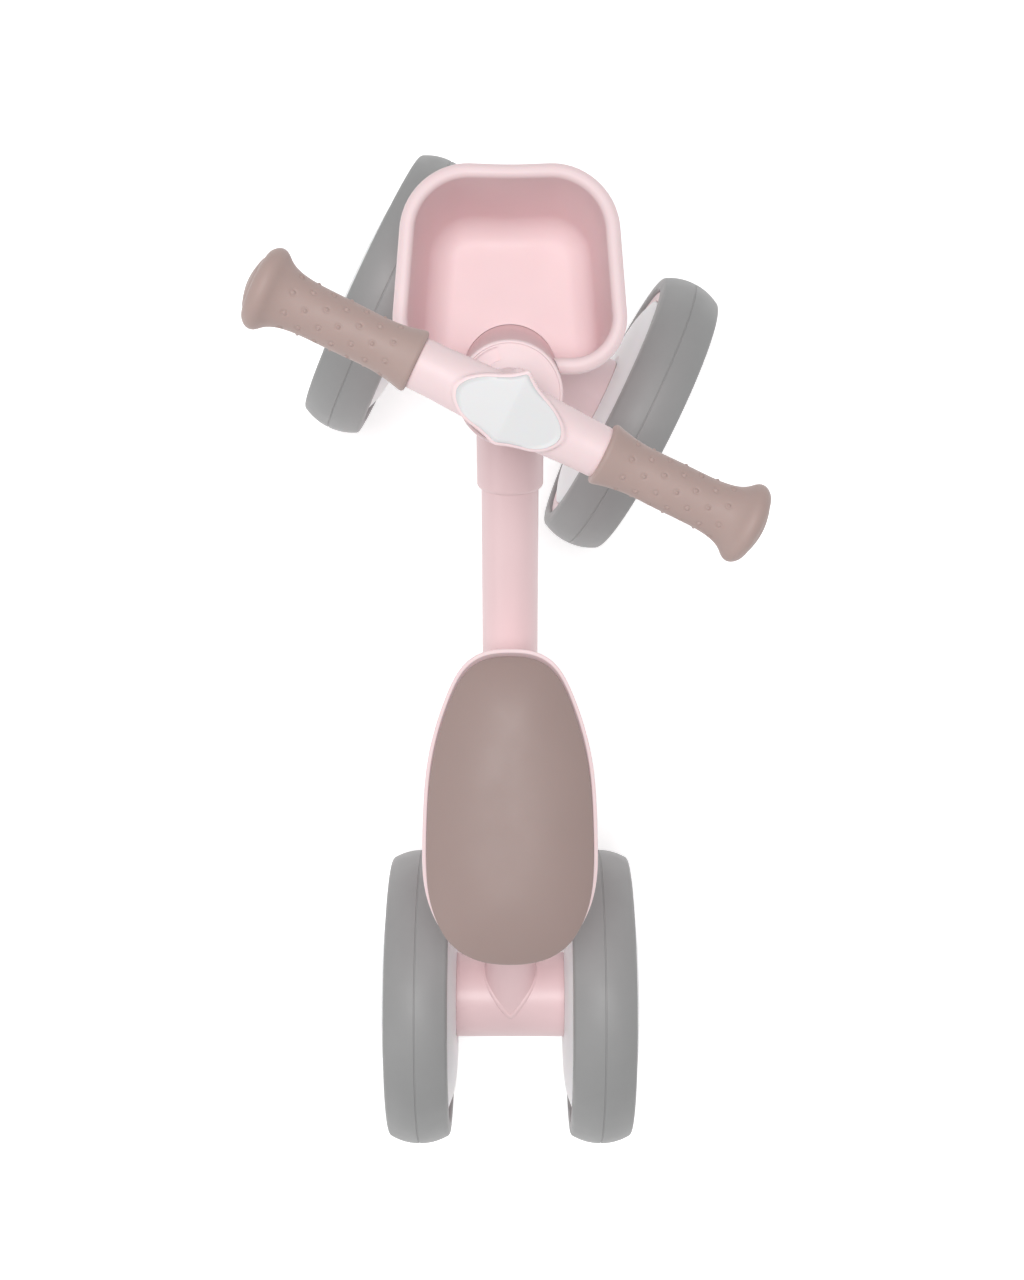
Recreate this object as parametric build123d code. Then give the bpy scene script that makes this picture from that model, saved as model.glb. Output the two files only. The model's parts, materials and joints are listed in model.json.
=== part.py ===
from build123d import *
import math
import os

# A toddler's four-wheeled balance bike, in millimetres.
# Working frame: +X forward, +Y to the rider's left, +Z up, floor at Z = 0 under an upright bike.
# The bars are turned to the right. The whole bike is then set down on its wheels (see `stance`).

# Wheels
WHEEL_RADIUS = 85.0
TYRE_HALF_WIDTH = 17.66
TREAD_CROWN = 5.0
TREAD_POWER = 2.15
TYRE_BORE = 73.0
SEAM_HALF_WIDTH = 0.35
SEAM_DEPTH = 0.45
RIM_FACE = 15.4
RIM_INNER = 66.3
SPOKE_COUNT = 8
SPOKE_WIDTH = 2.4
SPOKE_HEIGHT = 14.0
WEB_THICKNESS = 4.0
DISC_RADIUS = 66.0
DISC_THICKNESS = 1.8
DISC_FACE = 21.1
DISC_POCKET_RADIUS = 26.5
DISC_POCKET_FACE = 19.9
HUB_RADIUS = 15.5
HUB_HALF = 13.0
HUB_CAP_RADIUS = 17.0
BEARING_RADIUS = 11.0
BEARING_WIDTH = 7.0

# Axles
AXLE_RADIUS = 4.0
RUNNING_GAP = 0.05
NUT_ACROSS_FLATS = 13.0
NUT_HEIGHT = 5.0
WASHER_RADIUS = 8.0
WASHER_THICKNESS = 1.2
SPACER_RADIUS = 6.2
HOUSING_RADIUS = 24.5
HOUSING_WALL = 3.0
PLUG_DEPTH = 10.0

# Frame layout
REAR_AXLE_X = -210.3
FRONT_AXLE_X = 169.0
REAR_OFFSET = 52.4
FRONT_OFFSET = 79.0
REAR_HOUSING_HALF = 32.0
FRONT_HOUSING_HALF = 58.6
RAKE = 14.2
STEER_ANGLE = -26.0
STEER_LIMIT = 45.0

# Head tube and steering column, measured along the steering axis from the front axle
HEAD_RADIUS = 24.8
HEAD_BORE = 16.0
HEAD_BOTTOM = 92.0
HEAD_TOP = 216.8
CAP_THICKNESS = 5.0
CAP_LIP = 1.3
COLUMN_RADIUS = 11.1
COLUMN_WALL = 1.6
COLUMN_BOTTOM = 14.0
COLUMN_TOP = 272.0
SLEEVE_RADIUS = 20.0
SLEEVE_TOP = 84.0
CROWN_RADIUS = 23.5
CROWN_TOP = 90.0
STOP_HALF_ANGLE = 9.0
STOP_HEIGHT = 7.0
BOLT_RADIUS = 3.0
LOWER_BOLT = 48.0
UPPER_BOLT = 262.0
BUSH_LENGTH = 18.0
BUSH_FLANGE = 2.0

# Main tube
TUBE_RADIUS = 14.7
TUBE_WALL = 2.0
TUBE_SLOPE = 23.0
TUBE_START_Z = WHEEL_RADIUS + 10.6
TUBE_END = 344.0
SOCKET_RADIUS = 17.0
SOCKET_END = 314.3

# Handlebar, measured along the steering axis
BAR_HEIGHT = 281.6
BAR_RADIUS = 11.6
BAR_HALF = 44.0
BAR_TUBE_RADIUS = 8.0
BAR_TUBE_HALF = 116.0
NECK_RADIUS = 14.0
NECK_BOTTOM = 253.0
POD_MARGIN = 1.6
DECK_HEIGHT = 12.6
PLATE_THICKNESS = 3.4
PLATE_FALL = 5.0
GRIP_INNER = 44.2
GRIP_OUTER = 123.0
GRIP_WAIST = 11.5
GRIP_FLANGE = 13.9
GRIP_BULB = 18.4

# Basket
BASKET_REAR_X = 129.5
BASKET_FRONT_X = 230.5
BASKET_REAR_HALF = 59.2
BASKET_FRONT_HALF = 51.2
BASKET_REAR_CORNER = 27.0
BASKET_FRONT_CORNER = 34.0
RIM_WIDTH = 7.3
RIM_HEIGHT = 8.0
RIM_Z = 270.0
FLOOR_Z = 199.0
WALL = 2.8
DRAFT_INSET = 5.5
BASKET_SCREW_X = 172.0
BASKET_SCREW_SPACING = 26.0

# Seat. Each outline of the saddle is given as nose X, tail X and half width.
SEAT_RIM_Z = 238.0
SEAT_BASE_Z = 220.0
SEAT_TOP_Z = 250.0
SHELL_RIM = (-4.5, -160.2, 44.2)
SHELL_BASE = (-24.0, -142.0, 27.0)
SHELL_WALL = 2.2
PAD_EDGE = (-7.5, -161.7, 42.0)
PAD_SHOULDER = (-11.5, -158.2, 38.2)
PAD_CROWN = (-24.0, -147.0, 26.0)
PAD_EDGE_HEIGHT = 4.0
PAD_SHOULDER_Z = 246.2
PAD_GAP = 0.3
BOSS_RADIUS = 16.0
SEAT_SCREWS = [(-50.0, 12.0), (-50.0, -12.0), (-122.0, 14.0), (-122.0, -14.0)]
POST_X = -88.0
POST_TILT = 8.0
POST_RADIUS = 11.0
POST_WALL = 2.0
POST_BOTTOM = -8.0
POST_TOP = 70.9
SEAT_TUBE_RADIUS = 13.0
SEAT_TUBE_BOTTOM = -19.0
SEAT_TUBE_TOP = 44.0
CLAMP_RADIUS = 16.8
CLAMP_HEIGHT = 13.0

OUTER, INNER = 1, -1


# ---------------------------------------------------------------- helpers

def turned(outline):
    """Solid of revolution about Z of a closed (radius, height) outline."""
    return revolve(Plane.XZ * make_face(outline), Axis.Z)


def turned_points(*points):
    return turned(Polyline(*points, close=True))


def rod(radius, low, high, hole=0.0):
    """Cylinder about Z from height low to height high, with an optional through hole."""
    outline = [(hole, low), (radius, low), (radius, high), (hole, high)]
    return turned_points(*outline)


def screw_solid(head_radius, head_height, shank_radius, length):
    """Pan-head screw, head on top of Z = 0, shank below, with a cross recess."""
    body = rod(head_radius, 0, head_height) + rod(shank_radius, -length, 0)
    body = fillet(body.edges().group_by(Axis.Z)[-1], head_height * 0.45)
    slot = Box(head_radius * 1.1, 0.9, head_height)
    for turn in (0, 90):
        body -= Pos(0, 0, head_height) * Rot(0, 0, turn) * slot
    return body


def hex_solid(across_flats, height, hole):
    body = extrude(RegularPolygon(across_flats / 2, 6, major_radius=False), height)
    chamfer_cone = turned_points((0, 0), (across_flats * 0.62, 0), (across_flats * 0.62, height * 0.7),
                                 (across_flats * 0.5, height), (0, height))
    return (body & chamfer_cone) - Cylinder(hole, 4 * height)


# ---------------------------------------------------------------- frames of reference

RAKE_RAD = math.radians(RAKE)
HEAD_PLANE = Plane(
    origin=(FRONT_AXLE_X, 0, WHEEL_RADIUS),
    x_dir=(math.cos(RAKE_RAD), 0, math.sin(RAKE_RAD)),
    z_dir=(-math.sin(RAKE_RAD), 0, math.cos(RAKE_RAD)),
)
HEAD = HEAD_PLANE.location
STEERED = HEAD * Rot(0, 0, STEER_ANGLE)
SLOPE_RAD = math.radians(TUBE_SLOPE)
TUBE = Plane(
    origin=(REAR_AXLE_X, 0, TUBE_START_Z),
    x_dir=(0, 1, 0),
    z_dir=(math.cos(SLOPE_RAD), 0, math.sin(SLOPE_RAD)),
).location
POST_RAD = math.radians(POST_TILT)
POST = Plane(
    origin=(POST_X, 0, TUBE_START_Z + (POST_X - REAR_AXLE_X) * math.tan(SLOPE_RAD)),
    x_dir=(math.cos(POST_RAD), 0, math.sin(POST_RAD)),
    z_dir=(-math.sin(POST_RAD), 0, math.cos(POST_RAD)),
).location
REAR = Pos(REAR_AXLE_X, 0, WHEEL_RADIUS)
ACROSS = Rot(-90, 0, 0)      # turns a part's +Z to +Y
ACROSS_RIGHT = Rot(90, 0, 0)  # turns a part's +Z to -Y


def wheel_places():
    """Name, and location of the wheel's centre with +Z pointing away from the bike."""
    return {
        "front_left": STEERED * Pos(0, FRONT_OFFSET, 0) * ACROSS,
        "front_right": STEERED * Pos(0, -FRONT_OFFSET, 0) * ACROSS_RIGHT,
        "rear_left": REAR * Pos(0, REAR_OFFSET, 0) * ACROSS,
        "rear_right": REAR * Pos(0, -REAR_OFFSET, 0) * ACROSS_RIGHT,
    }


# ---------------------------------------------------------------- wheels

def tread_radius(y):
    return WHEEL_RADIUS - TREAD_CROWN * (abs(y) / TYRE_HALF_WIDTH) ** TREAD_POWER


def tyre():
    """Solid foam tyre: crowned tread with a fine moulding seam, rounded shoulders, plain bore."""
    shoulder = TYRE_HALF_WIDTH - 2.2
    tread_stations = [shoulder * k / 4 for k in range(1, 5)]
    seam_edge = (tread_radius(0) - 0.02, SEAM_HALF_WIDTH)
    tread = Spline([seam_edge] + [(tread_radius(y), y) for y in tread_stations])
    wall_top = (tread_radius(shoulder) - 4.0, TYRE_HALF_WIDTH)
    shoulder_arc = ThreePointArc(
        (tread_radius(shoulder), shoulder),
        (tread_radius(shoulder) - 1.3, TYRE_HALF_WIDTH - 0.62),
        wall_top,
    )
    side = Polyline(wall_top, (TYRE_BORE + 1.0, TYRE_HALF_WIDTH), (TYRE_BORE, TYRE_HALF_WIDTH - 1.0), (TYRE_BORE, 0))
    seam = Polyline((TYRE_BORE, 0), (WHEEL_RADIUS - SEAM_DEPTH, 0), seam_edge)
    half = turned(Curve() + tread + shoulder_arc + side + seam)
    return half + mirror(half, Plane.XY)


def rim():
    """Moulded rim: tyre band, web, and a hub bored for two bearings with a rib between them."""
    rib = HUB_HALF - BEARING_WIDTH
    band = rod(TYRE_BORE - 0.1, -RIM_FACE, RIM_FACE, RIM_INNER)
    band = fillet(band.edges().filter_by(GeomType.CIRCLE).group_by(SortBy.RADIUS)[-1], 0.8)
    web = rod(RIM_INNER, -WEB_THICKNESS / 2, WEB_THICKNESS / 2, HUB_RADIUS - 1)
    hub = rod(HUB_RADIUS, -HUB_HALF, HUB_HALF, BEARING_RADIUS + 0.02) + rod(BEARING_RADIUS + 0.5, -rib, rib, 8.5)
    body = band + web + hub
    spoke = Pos((HUB_RADIUS + RIM_INNER) / 2, 0, 0) * Box(RIM_INNER - HUB_RADIUS + 2, SPOKE_WIDTH, SPOKE_HEIGHT)
    for k in range(SPOKE_COUNT):
        body += Rot(0, 0, 360 / SPOKE_COUNT * k) * spoke
    return body


def disc_outline(side_hole):
    """Outer face of a wheel disc: a dome with a shallow pocket round the axle."""
    dome = Spline(
        [(DISC_RADIUS, RIM_FACE + 0.3), (58.0, 18.9), (46.0, 20.8), (DISC_POCKET_RADIUS + 2, DISC_FACE)],
        tangents=[(-1.0, 0.62), (-1.0, 0.0)],
    )
    face = Polyline(
        (DISC_POCKET_RADIUS + 2, DISC_FACE),
        (DISC_POCKET_RADIUS + 1, DISC_FACE - 0.2),
        (DISC_POCKET_RADIUS, DISC_POCKET_FACE),
        (side_hole, DISC_POCKET_FACE),
        (side_hole, DISC_POCKET_FACE - DISC_THICKNESS),
        (DISC_POCKET_RADIUS + 3, DISC_POCKET_FACE - DISC_THICKNESS),
        (46.0, 20.8 - DISC_THICKNESS - 0.4),
        (57.0, 18.9 - DISC_THICKNESS - 0.6),
        (DISC_RADIUS - 2.4, RIM_FACE - 1.0),
        (DISC_RADIUS - 2.4, RIM_FACE - 8.0),
        (DISC_RADIUS, RIM_FACE - 8.0),
        (DISC_RADIUS, RIM_FACE + 0.3),
    )
    return Curve() + dome + face


def inner_disc():
    return mirror(turned(disc_outline(SPACER_RADIUS + 2.4)), Plane.XY)


def outer_disc():
    return turned(disc_outline(HUB_CAP_RADIUS - 2.5))


def hub_cap():
    """Domed cap that snaps into the outer disc and covers the axle nut."""
    edge = (HUB_CAP_RADIUS, DISC_POCKET_FACE + 0.2)
    crown = (0, edge[1] + 3.5)
    clip_outer = HUB_CAP_RADIUS - 2.7
    clip_inner = clip_outer - 1.9
    dome = Spline([edge, (HUB_CAP_RADIUS * 0.7, edge[1] + 2.4), crown], tangents=[(-0.4, 1.0), (-1.0, 0.0)])
    inside = Polyline(crown, (0, edge[1] + 1.7), (clip_inner, edge[1]), (clip_inner, edge[1] - 3.5),
                      (clip_outer, edge[1] - 3.5), (clip_outer, edge[1]), edge)
    return turned(Curve() + dome + inside)


def bearings():
    """Two sealed ball bearings with recessed shields."""
    inner_end = HUB_HALF - BEARING_WIDTH
    shield = 0.5
    bore = AXLE_RADIUS + RUNNING_GAP
    one = turned_points(
        (bore, inner_end), (BEARING_RADIUS, inner_end), (BEARING_RADIUS, HUB_HALF), (9.2, HUB_HALF),
        (9.2, HUB_HALF - shield), (6.0, HUB_HALF - shield), (6.0, HUB_HALF), (bore, HUB_HALF),
    )
    return [one, mirror(one, Plane.XY)]


# ---------------------------------------------------------------- axles

def housing_tube(half_length):
    body = rod(HOUSING_RADIUS, -half_length, half_length, HOUSING_RADIUS - HOUSING_WALL)
    outer_edges = body.edges().filter_by(GeomType.CIRCLE).group_by(SortBy.RADIUS)[-1]
    return chamfer(outer_edges, 0.8)


def housing_plugs(half_length):
    """Two plugs that close the housing's ends and carry the axle."""
    plug = rod(HOUSING_RADIUS - HOUSING_WALL - 0.05, half_length - PLUG_DEPTH, half_length - 0.4,
               AXLE_RADIUS + RUNNING_GAP)
    return [plug, mirror(plug, Plane.XY)]


def axle_rod(offset):
    half = offset + HUB_HALF + 0.2 + WASHER_THICKNESS + NUT_HEIGHT
    body = rod(AXLE_RADIUS, -half, half)
    return chamfer(body.edges(), 0.6)


def axle_spacers(offset, housing_half):
    tube = rod(SPACER_RADIUS, housing_half - 0.35, offset - HUB_HALF - 0.15, AXLE_RADIUS + RUNNING_GAP)
    return [tube, mirror(tube, Plane.XY)]


def axle_nuts(offset):
    """A washer and a nut at each end of an axle."""
    start = offset + HUB_HALF + 0.2
    washer = rod(WASHER_RADIUS - 1.5, start, start + WASHER_THICKNESS, AXLE_RADIUS + RUNNING_GAP)
    nut = Pos(0, 0, start + WASHER_THICKNESS) * hex_solid(NUT_ACROSS_FLATS, NUT_HEIGHT - 0.4,
                                                          AXLE_RADIUS + RUNNING_GAP)
    return [washer, nut, mirror(washer, Plane.XY), mirror(nut, Plane.XY)]


# ---------------------------------------------------------------- frame

def ring_sector(half_angle, inner, outer, low, high):
    """Part of a ring about Z, centred on the rearward direction."""
    section = make_face(Polyline((inner, low), (outer, low), (outer, high), (inner, high), close=True))
    return Rot(0, 0, 180 - half_angle) * revolve(Plane.XZ * section, Axis.Z, 2 * half_angle)


def head_tube():
    """Head tube with the main tube's socket, the basket shelf and the notch that stops the steering."""
    body = HEAD * rod(HEAD_RADIUS, HEAD_BOTTOM, HEAD_TOP)
    socket = TUBE * rod(SOCKET_RADIUS, SOCKET_END, TUBE_END + 20)
    socket = fillet(socket.edges().sort_by(Axis.X)[0], 2.4)
    body += socket
    shelf = Pos(BASKET_SCREW_X - 14, 0, FLOOR_Z - WALL - 4.2) * Box(50, 42, 5)
    shelf = fillet(shelf.edges().filter_by(Axis.Z).group_by(Axis.X)[-1], 8)
    rib = Pos(BASKET_SCREW_X - 20, 0, FLOOR_Z - WALL - 11) * Box(26, 4, 12)
    body += shelf + rib
    for side in (OUTER, INNER):
        hole_y = side * BASKET_SCREW_SPACING / 2
        body -= Pos(BASKET_SCREW_X, hole_y, FLOOR_Z - WALL) * Cylinder(2.1, 30)
    body -= TUBE * rod(TUBE_RADIUS + 0.05, SOCKET_END - 5, TUBE_END + 0.5)
    body -= HEAD * rod(HEAD_BORE, HEAD_BOTTOM - 5, HEAD_TOP + 5)
    body -= HEAD * ring_sector(STEER_LIMIT + STOP_HALF_ANGLE + 1.5, HEAD_BORE - 1, HEAD_RADIUS + 1,
                               HEAD_BOTTOM - 1, HEAD_BOTTOM + STOP_HEIGHT)
    return body


def headset_cap():
    """Flat cover ring on the head tube, with a thin raised lip and a shallow sector recess."""
    top = HEAD_TOP + CAP_THICKNESS
    bore = COLUMN_RADIUS + 0.4
    body = turned_points(
        (bore, HEAD_TOP), (HEAD_RADIUS, HEAD_TOP), (HEAD_RADIUS, top - 0.7), (HEAD_RADIUS - 0.5, top),
        (HEAD_RADIUS - CAP_LIP, top), (HEAD_RADIUS - CAP_LIP - 0.3, top - 0.9), (bore, top - 0.9),
    )
    recess = Rot(0, 0, -125) * ring_sector(40, 16.0, HEAD_RADIUS - 2.4, top - 2.6, top)
    return HEAD * (body - recess)


def headset_bush(low, flange_at_low):
    """Flanged plastic bush between the head tube and the column."""
    bore = COLUMN_RADIUS + RUNNING_GAP
    body = rod(HEAD_BORE - 0.05, low, low + BUSH_LENGTH, bore)
    edge = low if flange_at_low else low + BUSH_LENGTH
    body -= rod(HEAD_BORE + 1, edge - 0.6, edge + 0.6, HEAD_BORE - 1.0)
    return HEAD * body


def main_tube():
    """Straight steel tube from the head tube's socket down to the rear axle housing."""
    body = TUBE * rod(TUBE_RADIUS, -30, TUBE_END, TUBE_RADIUS - TUBE_WALL)
    body -= REAR * ACROSS * Cylinder(HOUSING_RADIUS, 200)
    body = body.solids().sort_by(Axis.X)[-1]
    body -= POST * rod(SEAT_TUBE_RADIUS, SEAT_TUBE_BOTTOM - 10, SEAT_TUBE_TOP)
    return body.solids()


def seat_tube():
    """Socket for the seat post, closed below and slit behind where the clamp squeezes it."""
    body = rod(SEAT_TUBE_RADIUS, SEAT_TUBE_BOTTOM, SEAT_TUBE_TOP)
    body = fillet(body.edges().group_by(Axis.Z)[0], 3)
    body -= rod(POST_RADIUS + RUNNING_GAP, SEAT_TUBE_BOTTOM + 4, SEAT_TUBE_TOP + 1)
    body -= Pos(-SEAT_TUBE_RADIUS, 0, SEAT_TUBE_TOP) * Box(12, 2.4, 44)
    return POST * body


def seat_clamp():
    """Split band with two ears that nips the seat tube onto the post."""
    low = SEAT_TUBE_TOP - CLAMP_HEIGHT + 0.5
    body = rod(CLAMP_RADIUS, low, low + CLAMP_HEIGHT, SEAT_TUBE_RADIUS + 0.05)
    for side in (OUTER, INNER):
        body += Pos(-CLAMP_RADIUS - 3.2, side * 4.0, low + CLAMP_HEIGHT / 2) * Box(13, 5, CLAMP_HEIGHT)
    body -= rod(SEAT_TUBE_RADIUS + 0.05, low - 1, low + CLAMP_HEIGHT + 1)
    body -= Pos(-CLAMP_RADIUS, 0, low + CLAMP_HEIGHT / 2) * Box(20, 3.0, CLAMP_HEIGHT + 2)
    body -= Pos(-CLAMP_RADIUS - 5.2, 0, low + CLAMP_HEIGHT / 2) * ACROSS * Cylinder(2.6, 40)
    return POST * body


def clamp_bolt():
    """Cap bolt and nut through the clamp's ears."""
    low = SEAT_TUBE_TOP - CLAMP_HEIGHT + 0.5
    place = Pos(-CLAMP_RADIUS - 5.2, 0, low + CLAMP_HEIGHT / 2) * ACROSS
    bolt = rod(2.5, -12, 6.6) + rod(4.3, 6.6, 11.0)
    bolt -= Pos(0, 0, 9.8) * extrude(RegularPolygon(2.0, 6, major_radius=False), 2)
    nut = Pos(0, 0, -10.8) * hex_solid(8.0, 4.0, 2.5)
    return [POST * place * bolt, POST * place * nut]


def basket_outline(inset):
    """Rounded trapezoid in plan, wider towards the rider, drawn in by the inset."""
    corners = Polyline(
        (BASKET_REAR_X, BASKET_REAR_HALF), (BASKET_FRONT_X, BASKET_FRONT_HALF),
        (BASKET_FRONT_X, -BASKET_FRONT_HALF), (BASKET_REAR_X, -BASKET_REAR_HALF), close=True,
    )
    face = make_face(corners)
    face = fillet(face.vertices().group_by(Axis.X)[-1], BASKET_FRONT_CORNER)
    face = fillet(face.vertices().group_by(Axis.X)[0], BASKET_REAR_CORNER)
    return offset(face, -inset) if inset else face


def basket():
    """Bucket with a rolled rim, drafted walls and a rounded floor, cut back round the head tube."""
    wall_top = RIM_WIDTH - WALL
    outside = loft([
        Pos(0, 0, FLOOR_Z - WALL) * basket_outline(wall_top + DRAFT_INSET),
        Pos(0, 0, RIM_Z - RIM_HEIGHT + 1) * basket_outline(wall_top),
    ])
    outside = fillet(outside.edges().group_by(Axis.Z)[0], 14)
    rim_band = extrude(Pos(0, 0, RIM_Z - RIM_HEIGHT) * basket_outline(0), RIM_HEIGHT)
    rim_band = fillet(rim_band.edges().group_by(Axis.Z)[-1], 3.0)
    inside = loft([
        Pos(0, 0, FLOOR_Z) * basket_outline(RIM_WIDTH + DRAFT_INSET),
        Pos(0, 0, RIM_Z + 1) * basket_outline(RIM_WIDTH),
    ])
    inside = fillet(inside.edges().group_by(Axis.Z)[0], 12)
    body = outside + rim_band - inside
    for side in (OUTER, INNER):
        hole_y = side * BASKET_SCREW_SPACING / 2
        body -= Pos(BASKET_SCREW_X, hole_y, FLOOR_Z) * Cylinder(1.7, 30)
    body -= HEAD * rod(HEAD_RADIUS + 0.25, 0, 300)
    return body.solids().sort_by(SortBy.VOLUME)[-1]


def basket_screws():
    """Screws driven up through the head tube's shelf into the basket's floor."""
    base = FLOOR_Z - WALL - 6.7
    one = Rot(180, 0, 0) * screw_solid(4.0, 2.4, 1.65, 9.0)
    return [Pos(BASKET_SCREW_X, side * BASKET_SCREW_SPACING / 2, base) * one for side in (OUTER, INNER)]


# ---------------------------------------------------------------- seat

def saddle_outline(level, z):
    """Closed saddle outline at a height: rounded nose, widest two thirds back, broad tail."""
    nose, tail, half_width = level
    shape = [(0.0, 0.0), (0.011, 0.31), (0.037, 0.475), (0.085, 0.615), (0.15, 0.725), (0.25, 0.848), (0.37, 0.943),
             (0.52, 0.989), (0.635, 1.0), (0.77, 0.973), (0.86, 0.875), (0.935, 0.7), (0.98, 0.45), (1.0, 0.0)]
    right = [(along, -across) for along, across in reversed(shape[1:-1])]
    outline = Spline([(nose + (tail - nose) * along, half_width * across) for along, across in shape + right],
                     periodic=True)
    return Pos(0, 0, z) * make_face(outline)


def drawn_in(level, inset):
    nose, tail, half_width = level
    return (nose - inset, tail + inset, half_width - inset)


def tray_hollow():
    """The space inside the tray, which the pad's base fills."""
    return loft([
        saddle_outline(drawn_in(SHELL_BASE, SHELL_WALL / 2), SEAT_BASE_Z + SHELL_WALL),
        saddle_outline(drawn_in(SHELL_RIM, SHELL_WALL), SEAT_RIM_Z + PAD_GAP),
    ])


def seat_shell():
    """Moulded tray that carries the pad, with a boss for the post."""
    outside = loft([saddle_outline(SHELL_BASE, SEAT_BASE_Z), saddle_outline(SHELL_RIM, SEAT_RIM_Z)])
    boss = POST * rod(BOSS_RADIUS, SEAT_TUBE_TOP + 10, POST_TOP + 7)
    boss -= Pos(POST_X, 0, SEAT_BASE_Z + 1 + 50) * Box(200, 200, 100)
    body = outside - tray_hollow() + boss - POST * rod(POST_RADIUS + 0.05, SEAT_TUBE_TOP, POST_TOP + 0.1)
    for x, y in SEAT_SCREWS:
        body -= Pos(x, y, SEAT_BASE_Z) * Cylinder(1.7, 20)
    return body.solids().sort_by(SortBy.VOLUME)[-1]


def seat_screws():
    """Screws from below, through the tray into the pad's base."""
    one = Rot(180, 0, 0) * screw_solid(3.6, 2.0, 1.65, 7.0)
    return [Pos(x, y, SEAT_BASE_Z) * one for x, y in SEAT_SCREWS]


def seat_pad():
    """Foam pad that fills the tray, stands above its rim and laps over it at the tail."""
    edge_bottom = SEAT_RIM_Z + PAD_GAP
    edge_top = edge_bottom + PAD_EDGE_HEIGHT
    lap = extrude(saddle_outline(PAD_EDGE, edge_bottom), PAD_EDGE_HEIGHT)
    crown = loft([saddle_outline(PAD_EDGE, edge_top), saddle_outline(PAD_SHOULDER, PAD_SHOULDER_Z),
                  saddle_outline(PAD_CROWN, SEAT_TOP_Z)])
    body = tray_hollow() + lap + crown
    for x, y in SEAT_SCREWS:
        body -= Pos(x, y, SEAT_BASE_Z) * Cylinder(1.7, 20)
    return body


def seat_post():
    """Steel post, open below and pressed into the tray's boss."""
    return POST * rod(POST_RADIUS, POST_BOTTOM, POST_TOP, POST_RADIUS - POST_WALL)


# ---------------------------------------------------------------- steering

def cross_hole(height):
    """Hole across the column, and across what sleeves it, for a cross bolt."""
    return Pos(0, 0, height) * Rot(0, 90, 0) * Cylinder(BOLT_RADIUS + 0.05, 80)


def steering_column():
    body = rod(COLUMN_RADIUS, COLUMN_BOTTOM, COLUMN_TOP, COLUMN_RADIUS - COLUMN_WALL)
    return STEERED * (body - cross_hole(LOWER_BOLT) - cross_hole(UPPER_BOLT))


def front_axle_housing():
    """T-shaped moulding: axle housing across, sleeve for the column, crown with the steering stop."""
    body = ACROSS * rod(HOUSING_RADIUS, -FRONT_HOUSING_HALF, FRONT_HOUSING_HALF)
    body = chamfer(body.edges().filter_by(GeomType.CIRCLE), 0.8)
    sleeve = rod(SLEEVE_RADIUS, 10, SLEEVE_TOP)
    body += sleeve
    seam = body.edges().filter_by(lambda e: e.geom_type not in (GeomType.LINE, GeomType.CIRCLE))
    body = fillet(seam.filter_by(lambda e: e.center().Z > 5), 6.0)
    crown = turned_points((0, SLEEVE_TOP - 10), (SLEEVE_RADIUS, SLEEVE_TOP - 10), (CROWN_RADIUS, SLEEVE_TOP - 3),
                          (CROWN_RADIUS, CROWN_TOP - 0.8), (CROWN_RADIUS - 0.8, CROWN_TOP), (0, CROWN_TOP))
    stop = ring_sector(STOP_HALF_ANGLE, HEAD_BORE + 1.0, CROWN_RADIUS - 0.6, CROWN_TOP - 2,
                       HEAD_BOTTOM + STOP_HEIGHT - 0.8)
    body += crown + stop
    body -= ACROSS * Cylinder(HOUSING_RADIUS - HOUSING_WALL, 2 * FRONT_HOUSING_HALF + 2)
    column_core = rod(SLEEVE_RADIUS - 4, 0, 30) & ACROSS * Cylinder(HOUSING_RADIUS - 1, 100)
    body += column_core - ACROSS * Cylinder(AXLE_RADIUS + 0.3, 120)
    body -= rod(COLUMN_RADIUS + 0.02, COLUMN_BOTTOM - 0.1, CROWN_TOP + 20)
    body -= cross_hole(LOWER_BOLT)
    return STEERED * body.solids().sort_by(SortBy.VOLUME)[-1]


def column_bolts():
    """Cross bolts that pin the column in the sleeve below and in the handlebar neck above."""
    bolts = []
    for height, reach in ((LOWER_BOLT, SLEEVE_RADIUS), (UPPER_BOLT, NECK_RADIUS)):
        bolt = rod(BOLT_RADIUS, -reach - 1.0, reach) + rod(5.0, reach, reach + 2.6)
        bolt = fillet(bolt.edges().group_by(Axis.Z)[-1], 1.2)
        bolt -= Pos(0, 0, reach + 1.4) * extrude(RegularPolygon(2.0, 6, major_radius=False), 3)
        bolts.append(STEERED * Pos(0, 0, height) * Rot(0, -90, 0) * bolt)
    return bolts


def plate_outline(margin):
    """Eye-shaped outline, long across the bar, with a pointed tip forward and a blunter one aft."""
    half = [
        (17.2, 0.0), (13.6, 5.2), (9.7, 13.5), (5.6, 20.3), (-1.0, 24.3), (-7.4, 20.6), (-10.7, 14.2),
        (-12.2, 7.2), (-14.4, 0.0),
    ]
    grow_x = 1 + margin / 15.8
    grow_y = 1 + margin / 24.3
    left = Spline([(x * grow_x, y * grow_y) for x, y in half])
    return make_face(Curve() + left + mirror(left, Plane.XZ))


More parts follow.
